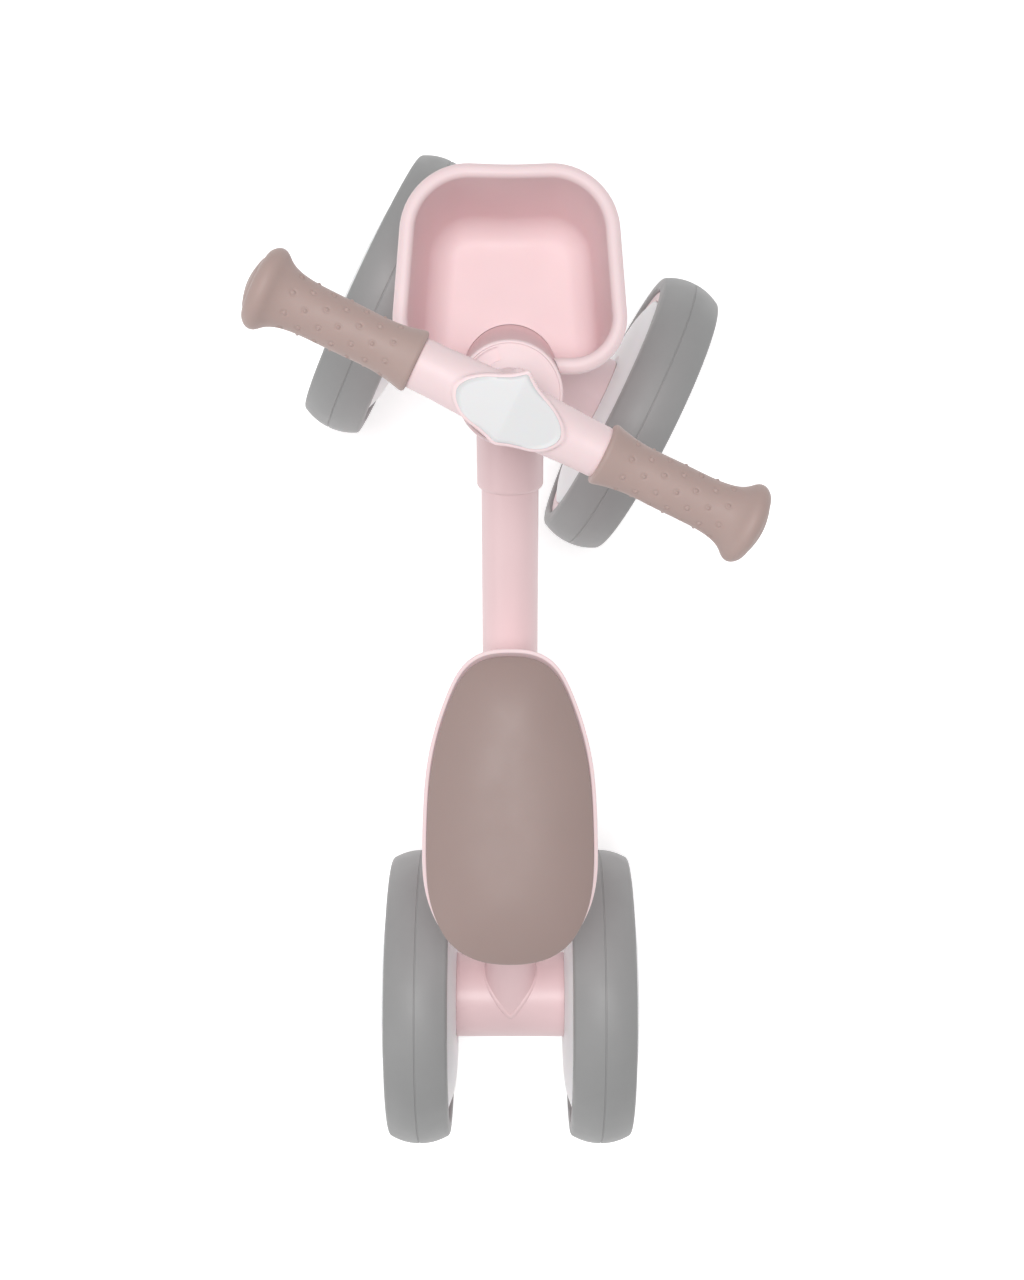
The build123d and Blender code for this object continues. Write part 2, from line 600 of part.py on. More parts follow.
def handlebar():
    """Moulded T-bar cover: two arms, a pod with a flat deck for the plate, and a neck on the column."""
    arms = Pos(0, 0, BAR_HEIGHT) * ACROSS * rod(BAR_RADIUS, -BAR_HALF, BAR_HALF)
    arms = chamfer(arms.edges().filter_by(GeomType.CIRCLE), 0.6)
    pod = Pos(0, 0, BAR_HEIGHT - 9.0) * extrude(plate_outline(POD_MARGIN), 9.0 + DECK_HEIGHT)
    pod = fillet(pod.edges().group_by(Axis.Z)[-1], 1.0)
    neck = rod(NECK_RADIUS, NECK_BOTTOM, BAR_HEIGHT)
    neck = chamfer(neck.edges().group_by(Axis.Z)[0], 1.0)
    body = arms + pod + neck
    body -= Pos(0, 0, BAR_HEIGHT + DECK_HEIGHT - 1.2) * extrude(plate_outline(0.05), 5)
    body -= Pos(0, 0, BAR_HEIGHT) * ACROSS * Cylinder(BAR_TUBE_RADIUS + 0.03, 200)
    body -= rod(COLUMN_RADIUS + 0.02, NECK_BOTTOM - 5, COLUMN_TOP + 0.1)
    body -= cross_hole(UPPER_BOLT)
    return STEERED * body


def badge_plate():
    """Blank faceted plate with a ridge from tip to tip."""
    body = extrude(plate_outline(-0.1), PLATE_THICKNESS)
    for side in (OUTER, INNER):
        facet = Pos(0, 0, PLATE_THICKNESS) * Rot(-side * PLATE_FALL, 0, 0) * Pos(0, side * 30, 10)
        body -= facet * Box(80, 60, 20)
    return STEERED * Pos(0, 0, BAR_HEIGHT + DECK_HEIGHT - 1.15) * body


def handlebar_tube():
    return STEERED * Pos(0, 0, BAR_HEIGHT) * ACROSS * rod(
        BAR_TUBE_RADIUS, -BAR_TUBE_HALF, BAR_TUBE_HALF, BAR_TUBE_RADIUS - 1.5)


def grip():
    """Soft grip: flared inner lip, slim waist, and a mushroom end that protects the hand."""
    start, end = GRIP_INNER, GRIP_OUTER
    bore = BAR_TUBE_RADIUS + 0.03
    bulb_start = (GRIP_BULB - 2.4, end - 13.6)
    bulb_end = (GRIP_BULB - 2.6, end - 5.0)
    lip_start = (GRIP_FLANGE - 1.6, start)
    lip_end = (GRIP_FLANGE, start + 1.6)
    body = Spline([
        lip_end, (GRIP_WAIST + 0.9, start + 8.0), (GRIP_WAIST, start + 18.0),
        (GRIP_WAIST, start + 46.0), (GRIP_WAIST + 1.3, start + 57.0), bulb_start,
    ])
    bulb = ThreePointArc(bulb_start, (GRIP_BULB, end - 9.4), bulb_end)
    face = Spline([bulb_end, (9.0, end - 1.3), (0, end)], tangents=[(-1.0, 0.75), (-1.0, 0.0)])
    inside = Polyline((0, end), (0, BAR_TUBE_HALF + 0.2), (bore, BAR_TUBE_HALF + 0.2), (bore, start), lip_start)
    lip = ThreePointArc(lip_start, (GRIP_FLANGE - 0.45, start + 0.45), lip_end)
    return turned(Curve() + body + bulb + face + inside + lip)


# ---------------------------------------------------------------- assembly

def all_parts():
    """Every node, in the upright working frame."""
    parts = {
        "head_tube": [head_tube()],
        "headset_cap": [headset_cap()],
        "upper_bush": [headset_bush(HEAD_TOP - BUSH_LENGTH, False)],
        "lower_bush": [headset_bush(HEAD_BOTTOM + STOP_HEIGHT, True)],
        "main_tube": main_tube(),
        "rear_axle_housing": [REAR * ACROSS * housing_tube(REAR_HOUSING_HALF)],
        "rear_housing_plugs": [REAR * ACROSS * s for s in housing_plugs(REAR_HOUSING_HALF)],
        "rear_axle": [REAR * ACROSS * axle_rod(REAR_OFFSET)],
        "rear_spacers": [REAR * ACROSS * s for s in axle_spacers(REAR_OFFSET, REAR_HOUSING_HALF)],
        "rear_axle_nuts": [REAR * ACROSS * s for s in axle_nuts(REAR_OFFSET)],
        "basket": [basket()],
        "basket_screws": basket_screws(),
        "seat_tube": [seat_tube()],
        "seat_clamp": [seat_clamp()],
        "clamp_bolt": clamp_bolt(),
        "seat_post": [seat_post()],
        "seat_shell": [seat_shell()],
        "seat_pad": [seat_pad()],
        "seat_screws": seat_screws(),
        "steering_column": [steering_column()],
        "front_axle_housing": [front_axle_housing()],
        "front_housing_plugs": [STEERED * ACROSS * s for s in housing_plugs(FRONT_HOUSING_HALF)],
        "front_axle": [STEERED * ACROSS * axle_rod(FRONT_OFFSET)],
        "front_spacers": [STEERED * ACROSS * s for s in axle_spacers(FRONT_OFFSET, FRONT_HOUSING_HALF)],
        "front_axle_nuts": [STEERED * ACROSS * s for s in axle_nuts(FRONT_OFFSET)],
        "column_bolts": column_bolts(),
        "handlebar": [handlebar()],
        "handlebar_tube": [handlebar_tube()],
        "badge_plate": [badge_plate()],
        "left_grip": [STEERED * Pos(0, 0, BAR_HEIGHT) * ACROSS * grip()],
        "right_grip": [STEERED * Pos(0, 0, BAR_HEIGHT) * ACROSS_RIGHT * grip()],
    }
    wheel_pieces = {
        "tyre": [tyre()], "rim": [rim()], "inner_disc": [inner_disc()], "outer_disc": [outer_disc()],
        "bearings": bearings(), "hub_cap": [hub_cap()],
    }
    for corner, place in wheel_places().items():
        for piece, solids in wheel_pieces.items():
            parts[f"{corner}_{piece}"] = [place * solid for solid in solids]
    return parts


def stance(parts):
    """Rigid move that sets the bike down on its rear wheels and the lower front wheel.

    Turning a raked fork lowers one front wheel and raises the other, so the nose lifts a little
    about the rear axle. The origin then goes to the floor, under the middle of the bike's box.
    """
    low_wheel = wheel_places()["front_right"].position
    drop = -parts["front_right_tyre"][0].bounding_box().min.Z
    pitch = math.degrees(math.asin(drop / (low_wheel.X - REAR_AXLE_X)))
    tip = REAR * Rot(0, -pitch, 0) * REAR.inverse()
    box = Compound([tip * solid for solids in parts.values() for solid in solids]).bounding_box()
    shift = Pos(-(box.min.X + box.max.X) / 2, -(box.min.Y + box.max.Y) / 2, -box.min.Z)
    return shift * tip


def main():
    os.makedirs("parts", exist_ok=True)
    parts = all_parts()
    place = stance(parts)
    for name, solids in parts.items():
        placed = [place * solid for solid in solids]
        export_step(placed[0] if len(placed) == 1 else Compound(placed), f"parts/{name}.step")
    print("placement", place)


if __name__ == "__main__":
    main()
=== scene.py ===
"""Balance bike: detailed pieces, finishes and a plain studio, built round the fixed CAD frame."""

import json
import math

import bmesh
import bpy
import numpy as np
from mathutils import Matrix, Vector


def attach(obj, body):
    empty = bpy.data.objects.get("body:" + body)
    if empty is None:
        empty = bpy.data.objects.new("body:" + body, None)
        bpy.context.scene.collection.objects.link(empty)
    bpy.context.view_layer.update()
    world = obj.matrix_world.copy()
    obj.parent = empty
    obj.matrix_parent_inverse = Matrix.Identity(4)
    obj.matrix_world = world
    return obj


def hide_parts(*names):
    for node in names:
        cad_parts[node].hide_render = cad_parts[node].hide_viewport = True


bl_info = {
    "name": "Balance Bike Looks",
    "version": (1, 0, 0),
    "blender": (4, 5, 0),
    "location": "3D View > Sidebar > Balance Bike",
    "description": "Builds the bike's mouldings, tyres, grips and saddle round its CAD frame",
    "category": "Object",
}

MM = 0.001
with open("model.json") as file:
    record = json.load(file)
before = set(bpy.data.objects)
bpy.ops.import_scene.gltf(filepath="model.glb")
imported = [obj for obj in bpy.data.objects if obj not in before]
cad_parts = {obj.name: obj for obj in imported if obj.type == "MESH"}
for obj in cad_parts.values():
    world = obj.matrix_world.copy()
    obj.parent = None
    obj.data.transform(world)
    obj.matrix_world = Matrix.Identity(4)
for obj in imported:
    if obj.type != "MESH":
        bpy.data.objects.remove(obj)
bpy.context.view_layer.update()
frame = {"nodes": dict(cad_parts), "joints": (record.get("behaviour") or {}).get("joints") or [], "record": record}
JOINTS = {joint["name"]: joint for joint in frame["joints"]}
CORNERS = ("front_left", "front_right", "rear_left", "rear_right")


# ---------------------------------------------------------------- places, all worked out from the frame

def axes_at(origin, left, up):
    """Matrix whose Z is up, whose Y is as near left as it can be, and whose X is forward."""
    z = up.normalized()
    x = left.cross(z).normalized()
    y = z.cross(x)
    return Matrix.Translation(origin) @ Matrix((x, y, z)).transposed().to_4x4()


def moved(x=0.0, y=0.0, z=0.0):
    return Matrix.Translation((x, y, z))


def hub_point(corner):
    return Vector(JOINTS[f"{corner}_roll"]["pos_m"])


LEFT = Vector((0, 1, 0))
FLOOR_MOUNT = frame["record"]["mounts"][0]
BIKE_UP = Vector(FLOOR_MOUNT["axis"])
STEER_AXIS = Vector(JOINTS["steering_turn"]["axis"])
FRONT_MIDDLE = (hub_point("front_left") + hub_point("front_right")) / 2
REAR_MIDDLE = (hub_point("rear_left") + hub_point("rear_right")) / 2
STEERED_LEFT = (hub_point("front_left") - hub_point("front_right")).normalized()

# The bike's own upright frame: X forward, Y to the rider's left, Z square to the basket's floor
REAR = axes_at(REAR_MIDDLE, LEFT, BIKE_UP)
HEAD = axes_at(FRONT_MIDDLE, LEFT, STEER_AXIS)
STEERED = axes_at(FRONT_MIDDLE, STEERED_LEFT, STEER_AXIS)

# Saddle, basket and camera are laid out from a point on the floor, ahead of the rear axle
LAYOUT_AHEAD = 210.3 * MM
AXLE_HEIGHT = 85 * MM
# The main tube's axis passes above the rear axle, and the seat post stands on it ahead of that axle, leaning back
TUBE_LIFT = 10.6 * MM
POST_AHEAD = 122.3 * MM
POST_TILT = math.radians(8)
# Where the grips start along the bar, from its middle, in millimetres
GRIP_START = 44.2


def wheel_place(corner):
    """The wheel's centre, with Z pointing away from the bike and X up."""
    up = STEERED.col[2].to_3d() if corner.startswith("front") else BIKE_UP
    out = STEERED_LEFT if corner.startswith("front") else LEFT
    if corner.endswith("right"):
        out = -out
    return Matrix.Translation(hub_point(corner)) @ Matrix((up, out.cross(up), out)).transposed().to_4x4()


# ---------------------------------------------------------------- sizes and colours

class BikeSizes(bpy.types.PropertyGroup):
    wheel_radius: bpy.props.FloatProperty(
        name="Wheel radius", description="Axle to the crown of the tread", default=85 * MM, unit="LENGTH")
    tyre_half_width: bpy.props.FloatProperty(
        name="Tyre half width", description="Half the tyre's width", default=17.66 * MM, unit="LENGTH")
    tread_crown: bpy.props.FloatProperty(
        name="Tread crown", description="Fall of the tread from its middle to its edge",
        default=5 * MM, unit="LENGTH")
    tyre_bore: bpy.props.FloatProperty(
        name="Tyre bore", description="Radius where the tyre sits on its rim", default=73 * MM, unit="LENGTH")
    disc_radius: bpy.props.FloatProperty(
        name="Disc radius", description="Edge of the white wheel discs", default=66 * MM, unit="LENGTH")
    housing_radius: bpy.props.FloatProperty(
        name="Axle housing radius", description="Outside of both axle housings", default=24.5 * MM, unit="LENGTH")
    head_radius: bpy.props.FloatProperty(
        name="Head tube radius", description="Outside of the head tube", default=24.8 * MM, unit="LENGTH")
    tube_radius: bpy.props.FloatProperty(
        name="Main tube radius", description="Outside of the sloping main tube", default=14.7 * MM, unit="LENGTH")
    tube_slope: bpy.props.FloatProperty(
        name="Main tube slope", description="Rise of the main tube towards the head tube",
        default=math.radians(23), subtype="ANGLE")
    bar_height: bpy.props.FloatProperty(
        name="Bar height", description="Front axle to bar, along the steering axis",
        default=281.6 * MM, unit="LENGTH")
    bar_radius: bpy.props.FloatProperty(
        name="Bar radius", description="Outside of the moulded bar cover", default=11.6 * MM, unit="LENGTH")
    grip_waist: bpy.props.FloatProperty(
        name="Grip waist", description="Radius of the grip where the fingers close",
        default=11.5 * MM, unit="LENGTH")
    grip_dot_height: bpy.props.FloatProperty(
        name="Grip dot height", description="How far the grip's dots stand out", default=0.6 * MM, unit="LENGTH")
    rim_width: bpy.props.FloatProperty(
        name="Basket rim width", description="Width of the basket's rolled rim", default=7.3 * MM, unit="LENGTH")


def colour_property(label, text, hexa):
    return bpy.props.StringProperty(name=label, description=text, default=hexa)


class BikeColours(bpy.types.PropertyGroup):
    frame_pink: colour_property("Frame pink", "Powder coat on the steel", "#EACDCF")
    moulding_pink: colour_property("Moulding pink", "Basket, bar cover and saddle tray", "#F1DADC")
    moulding_white: colour_property("Moulding white", "Wheel discs and caps", "#F5F5F6")
    # The badge is the same white moulding as the discs; this colour is that white darkened, as painted shade where
    # the badge faces the overhead light straight on.
    badge_shaded_white: colour_property("Badge white, painted shade", "Blank badge on the bar", "#E0E0E1")
    tyre_grey: colour_property("Tyre grey", "Foam tyres", "#9B9B9B")
    grip_taupe: colour_property("Grip taupe", "Soft grips", "#B39C96")
    saddle_taupe: colour_property("Saddle taupe", "Saddle pad", "#A48F8A")
    steel_grey: colour_property("Steel grey", "Bare and plated steel", "#C4C5C8")
    acetal_white: colour_property("Acetal white", "Bushes and plugs", "#DFDCD6")
    floor_white: colour_property("Floor white", "Studio floor", "#FFFFFF")


def sizes():
    return bpy.context.scene.bike_sizes


def colours():
    return bpy.context.scene.bike_colours


# ---------------------------------------------------------------- finishes

def linear(hexa):
    """Scene-linear RGBA of an sRGB hex colour."""
    channels = [int(hexa[k:k + 2], 16) / 255 for k in (1, 3, 5)]
    return [c / 12.92 if c <= 0.04045 else ((c + 0.055) / 1.055) ** 2.4 for c in channels] + [1.0]


def shade(hexa, share):
    """The linear colour, darker for a share under 1 and lighter over it."""
    return [min(1.0, c * share) for c in linear(hexa)[:3]] + [1.0]


def add_node(tree, kind, inputs=None, **settings):
    """Adds a node, sets its settings, and sets or links its inputs."""
    node = tree.nodes.new(kind)
    for name, value in settings.items():
        setattr(node, name, value)
    for name, value in (inputs or {}).items():
        if isinstance(value, bpy.types.NodeSocket):
            tree.links.new(value, node.inputs[name])
        else:
            node.inputs[name].default_value = value
    return node


def per_mm(size_mm):
    """Texture scale that gives a pattern of about this size, on object coordinates in metres."""
    return 1000.0 / size_mm


def new_finish(name):
    """An empty node tree with a shader on its output, and the object's own coordinates."""
    material = bpy.data.materials.new(name)
    material.use_nodes = True
    tree = material.node_tree
    tree.nodes.clear()
    shader = add_node(tree, "ShaderNodeBsdfPrincipled")
    add_node(tree, "ShaderNodeOutputMaterial", {"Surface": shader.outputs["BSDF"]})
    place = add_node(tree, "ShaderNodeTexCoord").outputs["Object"]
    return material, tree, shader, place


def set_shader(shader, **values):
    for name, value in values.items():
        shader.inputs[name.replace("_", " ")].default_value = value


def mottle(tree, shader, place, hexa, low, high, size_mm):
    """Base colour that drifts between two shares of itself over blotches of that size."""
    blotch = add_node(tree, "ShaderNodeTexNoise", {
        "Vector": place, "Scale": per_mm(size_mm), "Detail": 4.0, "Roughness": 0.55})
    mix = add_node(tree, "ShaderNodeMix", {"Factor": blotch.outputs["Fac"]}, data_type="RGBA")
    mix.inputs[6].default_value = shade(hexa, low)
    mix.inputs[7].default_value = shade(hexa, high)
    tree.links.new(mix.outputs[2], shader.inputs["Base Color"])


def rough_drift(tree, shader, place, low, high, size_mm):
    """Roughness that drifts between two values, as handling and moulding leave it."""
    noise = add_node(tree, "ShaderNodeTexNoise", {"Vector": place, "Scale": per_mm(size_mm), "Detail": 5.0})
    spread = add_node(tree, "ShaderNodeMapRange", {
        "Value": noise.outputs["Fac"], "From Min": 0.3, "From Max": 0.7, "To Min": low, "To Max": high})
    tree.links.new(spread.outputs["Result"], shader.inputs["Roughness"])


NOISE, CELLS = "ShaderNodeTexNoise", "ShaderNodeTexVoronoi"


def relief(tree, shader, place, layers):
    """Surface relief, broadest layer first: texture, its inputs and settings, depth in millimetres, strength."""
    normal = {}
    for kind, inputs, settings, depth_mm, strength in layers:
        texture = add_node(tree, kind, {"Vector": place, **inputs}, **settings)
        bump = add_node(tree, "ShaderNodeBump", {
            "Height": texture.outputs[0], "Distance": depth_mm * MM, "Strength": strength, **normal})
        normal = {"Normal": bump.outputs["Normal"]}
    tree.links.new(normal["Normal"], shader.inputs["Normal"])


def powder_coated_steel():
    """Baked powder coat on steel: satin, with the faint orange peel that the melted powder leaves."""
    material, tree, shader, place = new_finish("powder_coated_steel")
    set_shader(shader, IOR=1.5, Coat_Weight=0.15, Coat_Roughness=0.25, Specular_IOR_Level=0.45)
    mottle(tree, shader, place, colours().frame_pink, 0.985, 1.015, 60)
    rough_drift(tree, shader, place, 0.40, 0.48, 25)
    orange_peel = (NOISE, {"Scale": per_mm(2.2), "Detail": 1.5}, {}, 0.06, 0.35)
    specks = (NOISE, {"Scale": per_mm(0.7), "Detail": 1.0}, {}, 0.02, 0.2)
    relief(tree, shader, place, [orange_peel, specks])
    return material


def moulded_polypropylene(name, hexa):
    """Injection moulded polypropylene: soft sheen, light just under the skin, and a fine spark-eroded grain."""
    material, tree, shader, place = new_finish(name)
    set_shader(shader, IOR=1.49, Specular_IOR_Level=0.4, Subsurface_Weight=0.06, Subsurface_Scale=1.5 * MM)
    mottle(tree, shader, place, hexa, 0.985, 1.012, 45)
    rough_drift(tree, shader, place, 0.42, 0.50, 18)
    flow = (NOISE, {"Scale": per_mm(30), "Detail": 1.0}, {}, 0.25, 0.15)
    # Real spark grain is under 0.1 mm; it is drawn at 0.5 mm so that it shows.
    grain = (NOISE, {"Scale": per_mm(0.5), "Detail": 2.0}, {}, 0.02, 0.25)
    relief(tree, shader, place, [flow, grain])
    return material


def eva_foam():
    """Moulded EVA foam tyre: dull closed skin with tiny cells and a little chalky bloom."""
    material, tree, shader, place = new_finish("moulded_eva_foam")
    set_shader(shader, IOR=1.45, Specular_IOR_Level=0.45, Sheen_Weight=0.05, Sheen_Roughness=0.5)
    mottle(tree, shader, place, colours().tyre_grey, 0.95, 1.05, 22)
    rough_drift(tree, shader, place, 0.44, 0.54, 12)
    bloom = (NOISE, {"Scale": per_mm(6), "Detail": 4.0}, {}, 0.12, 0.3)
    # The skin's cells are 0.2 to 0.4 mm; they are drawn at 0.8 mm so that they show.
    cells = (CELLS, {"Scale": per_mm(0.8)}, {"feature": "F1"}, 0.04, 0.35)
    relief(tree, shader, place, [bloom, cells])
    return material


def thermoplastic_rubber():
    """Moulded thermoplastic rubber grip: matt, slightly velvety, its tone drifting lighter and darker in small
    blotches.
    """
    material, tree, shader, place = new_finish("moulded_thermoplastic_rubber")
    set_shader(shader, IOR=1.5, Specular_IOR_Level=0.35, Sheen_Weight=0.15, Sheen_Roughness=0.4,
               Subsurface_Weight=0.04, Subsurface_Scale=1.0 * MM)
    mottle(tree, shader, place, colours().grip_taupe, 0.96, 1.04, 14)
    rough_drift(tree, shader, place, 0.50, 0.62, 9)
    # Blasted mould texture is about 0.15 mm; it is drawn at 0.6 mm so that it shows.
    relief(tree, shader, place, [(NOISE, {"Scale": per_mm(0.6), "Detail": 3.0}, {}, 0.04, 0.35)])
    return material


def polyurethane_skin():
    """Integral-skin polyurethane foam: a smooth satin skin with a fine pebble from the mould."""
    material, tree, shader, place = new_finish("integral_skin_polyurethane")
    set_shader(shader, IOR=1.5, Specular_IOR_Level=0.38, Sheen_Weight=0.1, Sheen_Roughness=0.45,
               Subsurface_Weight=0.03, Subsurface_Scale=1.2 * MM)
    mottle(tree, shader, place, colours().saddle_taupe, 0.975, 1.025, 35)
    rough_drift(tree, shader, place, 0.44, 0.54, 20)
    swell = (NOISE, {"Scale": per_mm(28), "Detail": 1.0}, {}, 0.4, 0.2)
    # The pebble is about 0.3 mm; it is drawn at 0.9 mm so that it shows.
    pebble = (CELLS, {"Scale": per_mm(0.9), "Smoothness": 0.6}, {"feature": "SMOOTH_F1"}, 0.04, 0.25)
    relief(tree, shader, place, [swell, pebble])
    return material


def steel(name, low, high, stretch):
    """Bare or zinc plated steel: bright, with drawing lines or plating blotches that vary its gloss."""
    material, tree, shader, place = new_finish(name)
    set_shader(shader, Metallic=1.0)
    mottle(tree, shader, place, colours().steel_grey, 0.93, 1.05, 8)
    lines = add_node(tree, "ShaderNodeMapping", {"Vector": place, "Scale": stretch})
    drawn = add_node(tree, NOISE, {"Vector": lines.outputs["Vector"], "Scale": per_mm(3), "Detail": 6.0})
    spread = add_node(tree, "ShaderNodeMapRange", {
        "Value": drawn.outputs["Fac"], "From Min": 0.3, "From Max": 0.7, "To Min": low, "To Max": high})
    tree.links.new(spread.outputs["Result"], shader.inputs["Roughness"])
    bump = add_node(tree, "ShaderNodeBump", {
        "Height": drawn.outputs["Fac"], "Distance": 0.01 * MM, "Strength": 0.3})
    tree.links.new(bump.outputs["Normal"], shader.inputs["Normal"])
    return material


def acetal():
    """Turned or moulded natural acetal: waxy, slightly translucent off-white."""
    material, tree, shader, place = new_finish("natural_acetal")
    set_shader(shader, IOR=1.48, Specular_IOR_Level=0.45, Subsurface_Weight=0.1, Subsurface_Scale=2 * MM)
    mottle(tree, shader, place, colours().acetal_white, 0.97, 1.02, 10)
    rough_drift(tree, shader, place, 0.32, 0.42, 6)
    relief(tree, shader, place, [(NOISE, {"Scale": per_mm(0.8), "Detail": 2.0}, {}, 0.02, 0.25)])
    return material


FINISHES = {}


def make_finishes():
    FINISHES.update({
        "frame_paint": powder_coated_steel(),
        "pink_moulding": moulded_polypropylene("pink_polypropylene", colours().moulding_pink),
        "white_moulding": moulded_polypropylene("white_polypropylene", colours().moulding_white),
        # The badge's finish is a darker copy of the white moulding: painted shade.
        "blank_badge": moulded_polypropylene("badge_polypropylene_painted_shade", colours().badge_shaded_white),
        "foam_tyre": eva_foam(),
        "grip_rubber": thermoplastic_rubber(),
        "seat_foam": polyurethane_skin(),
        "bush_plastic": acetal(),
        "bright_steel": steel("drawn_bright_steel", 0.22, 0.34, (1.0, 1.0, 0.06)),
        "zinc_steel": steel("zinc_plated_steel", 0.28, 0.42, (1.0, 1.0, 1.0)),
        "bearing_steel": steel("ground_bearing_steel", 0.18, 0.28, (0.3, 1.0, 1.0)),
    })


# ---------------------------------------------------------------- curves and meshes

def spline(points, count, closed=True):
    """Points on the smooth cubic curve through the given points."""
    known = np.array(points, float)
    total = len(known)
    following = np.roll(known, -1, 0) if closed else known[1:]
    step = np.linalg.norm(following - known[:len(following)], axis=1)
    matrix = np.eye(total)
    right = np.zeros_like(known)
    for i in range(0 if closed else 1, total if closed else total - 1):
        before, after, last, coming = step[i - 1], step[i], (i - 1) % total, (i + 1) % total
        matrix[i] = 0
        matrix[i, last] += before
        matrix[i, i] += 2 * (before + after)
        matrix[i, coming] += after
        right[i] = 6 * ((known[coming] - known[i]) / after - (known[i] - known[last]) / before)
    bend = np.linalg.solve(matrix, right)
    reach = np.concatenate([[0.0], np.cumsum(step)])
    places = np.arange(count) * reach[-1] / (count if closed else count - 1)
    found = []
    for place in places:
        i = min(int(np.searchsorted(reach, place, side="right")) - 1, len(step) - 1)
        j = (i + 1) % total
        b = (place - reach[i]) / step[i]
        a = 1 - b
        curve = (a ** 3 - a) * bend[i] + (b ** 3 - b) * bend[j]
        found.append(a * known[i] + b * known[j] + curve * step[i] ** 2 / 6)
    return [tuple(p) for p in found]


def rounded(corners, arc_steps=5, closed=True):
    """Outline of (x, y, radius) corners with each corner turned into an arc."""
    outline = []
    total = len(corners)
    for i, (x, y, radius) in enumerate(corners):
        here = Vector((x, y))
        if radius <= 0 or (not closed and i in (0, total - 1)):
            outline.append(tuple(here))
            continue
        back = (Vector(corners[i - 1][:2]) - here).normalized()
        ahead = (Vector(corners[(i + 1) % total][:2]) - here).normalized()
        half = back.angle(ahead) / 2
        middle = here + (back + ahead).normalized() * (radius / math.sin(half))
        start = here + back * (radius / math.tan(half)) - middle
        end = here + ahead * (radius / math.tan(half)) - middle
        for k in range(arc_steps + 1):
            share = k / arc_steps
            spot = (start.lerp(end, share)).normalized() * radius
            outline.append(tuple(middle + spot))
    return outline


def new_object(name, vertices, faces, place):
    """A mesh object from points given in a place's own axes."""
    mesh = bpy.data.meshes.new(name)
    mesh.from_pydata([tuple(v) for v in vertices], [], faces)
    mesh.transform(place)
    mesh.update()
    made = bpy.data.objects.new(name, mesh)
    bpy.context.scene.collection.objects.link(made)
    return made


def mesh_piece(name, vertices, faces, place, slot, body, sharp_degrees=40, finish=None):
    """A finished piece from points given in a place's own axes."""
    return finish_piece(new_object(name, vertices, faces, place), slot, body, sharp_degrees, finish)


def finish_piece(piece, slot, body, sharp_degrees=40, finish=None):
    """Turns faces outward, smooths all but sharp edges, and gives the piece its body and the finish of its slot, or
    the finish named.
    """
    mesh = piece.data
    shape = bmesh.new()
    shape.from_mesh(mesh)
    bmesh.ops.remove_doubles(shape, verts=shape.verts, dist=0.001 * MM)
    bmesh.ops.recalc_face_normals(shape, faces=shape.faces)
    shape.to_mesh(mesh)
    shape.free()
    mesh.polygons.foreach_set("use_smooth", [True] * len(mesh.polygons))
    mesh.set_sharp_from_angle(angle=math.radians(sharp_degrees))
    mesh.materials.clear()
    mesh.materials.append(FINISHES[finish or slot])
    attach(piece, body)
    return piece


def skin(rings, close_ends=False):
    """Faces between rings that each hold the same number of points."""
    count = len(rings[0])
    pairs = len(rings) if close_ends else len(rings) - 1
    faces = []
    for i in range(pairs):
        low, high = i * count, (i + 1) % len(rings) * count
        for k in range(count):
            after = (k + 1) % count
            faces.append((low + k, low + after, high + after, high + k))
    return faces


def looped(rings):
    """Vertices and faces of rings whose last one joins the first."""
    return [p for ring in rings for p in ring], skin(rings, close_ends=True)


def capped(rings):
    """Vertices and faces of stacked rings whose two ends each close on a middle point."""
    vertices = [p for ring in rings for p in ring]
    count = len(rings[0])
    bottom, top, start = len(vertices), len(vertices) + 1, (len(rings) - 1) * count
    for ring in (rings[0], rings[-1]):
        vertices.append(tuple(sum((Vector(p) for p in ring), Vector()) / count))
    faces = skin(rings)
    faces += [((k + 1) % count, k, bottom) for k in range(count)]
    faces += [(start + k, start + (k + 1) % count, top) for k in range(count)]
    return vertices, faces


def turned_rings(profile, steps):
    """One ring of points about Z for each (radius, height) of a profile."""
    turns = [2 * math.pi * k / steps for k in range(steps)]
    return [[(r * math.cos(turn), r * math.sin(turn), z) for turn in turns] for r, z in profile]


def turned_ring_mesh(profile, steps):
    """A closed (radius, height) outline turned about Z."""
    return looped(turned_rings(profile, steps))


def turned_solid_mesh(profile, steps):
    """An open (radius, height) outline turned about Z, closed at both ends."""
    return capped(turned_rings(profile, steps))


def joined(*meshes):
    """Several meshes as one, without merging what touches."""
    vertices, faces = [], []
    for some_vertices, some_faces in meshes:
        start = len(vertices)
        vertices += [tuple(v) for v in some_vertices]
        faces += [tuple(k + start for k in face) for face in some_faces]
    return vertices, faces


def placed(mesh, place):
    """The mesh with its points moved by a matrix."""
    vertices, faces = mesh
    return [tuple(place @ Vector(v)) for v in vertices], faces


def fused_piece(name, solids, place, slot, body, voxel, smoothing):
    """Closed solids melted into one moulding with soft inside corners."""
    vertices, faces = joined(*solids)
    piece = new_object(name, vertices, faces, Matrix())
    melt = piece.modifiers.new("melt", "REMESH")
    melt.mode = "VOXEL"
    melt.voxel_size = voxel
    settle = piece.modifiers.new("settle", "SMOOTH")
    settle.factor = 0.5
    settle.iterations = smoothing
    shown = piece.evaluated_get(bpy.context.evaluated_depsgraph_get())
    made = bpy.data.meshes.new_from_object(shown)
    piece.modifiers.clear()
    piece.data = made
    made.transform(place)
    made.name = name
    return finish_piece(piece, slot, body, 180)


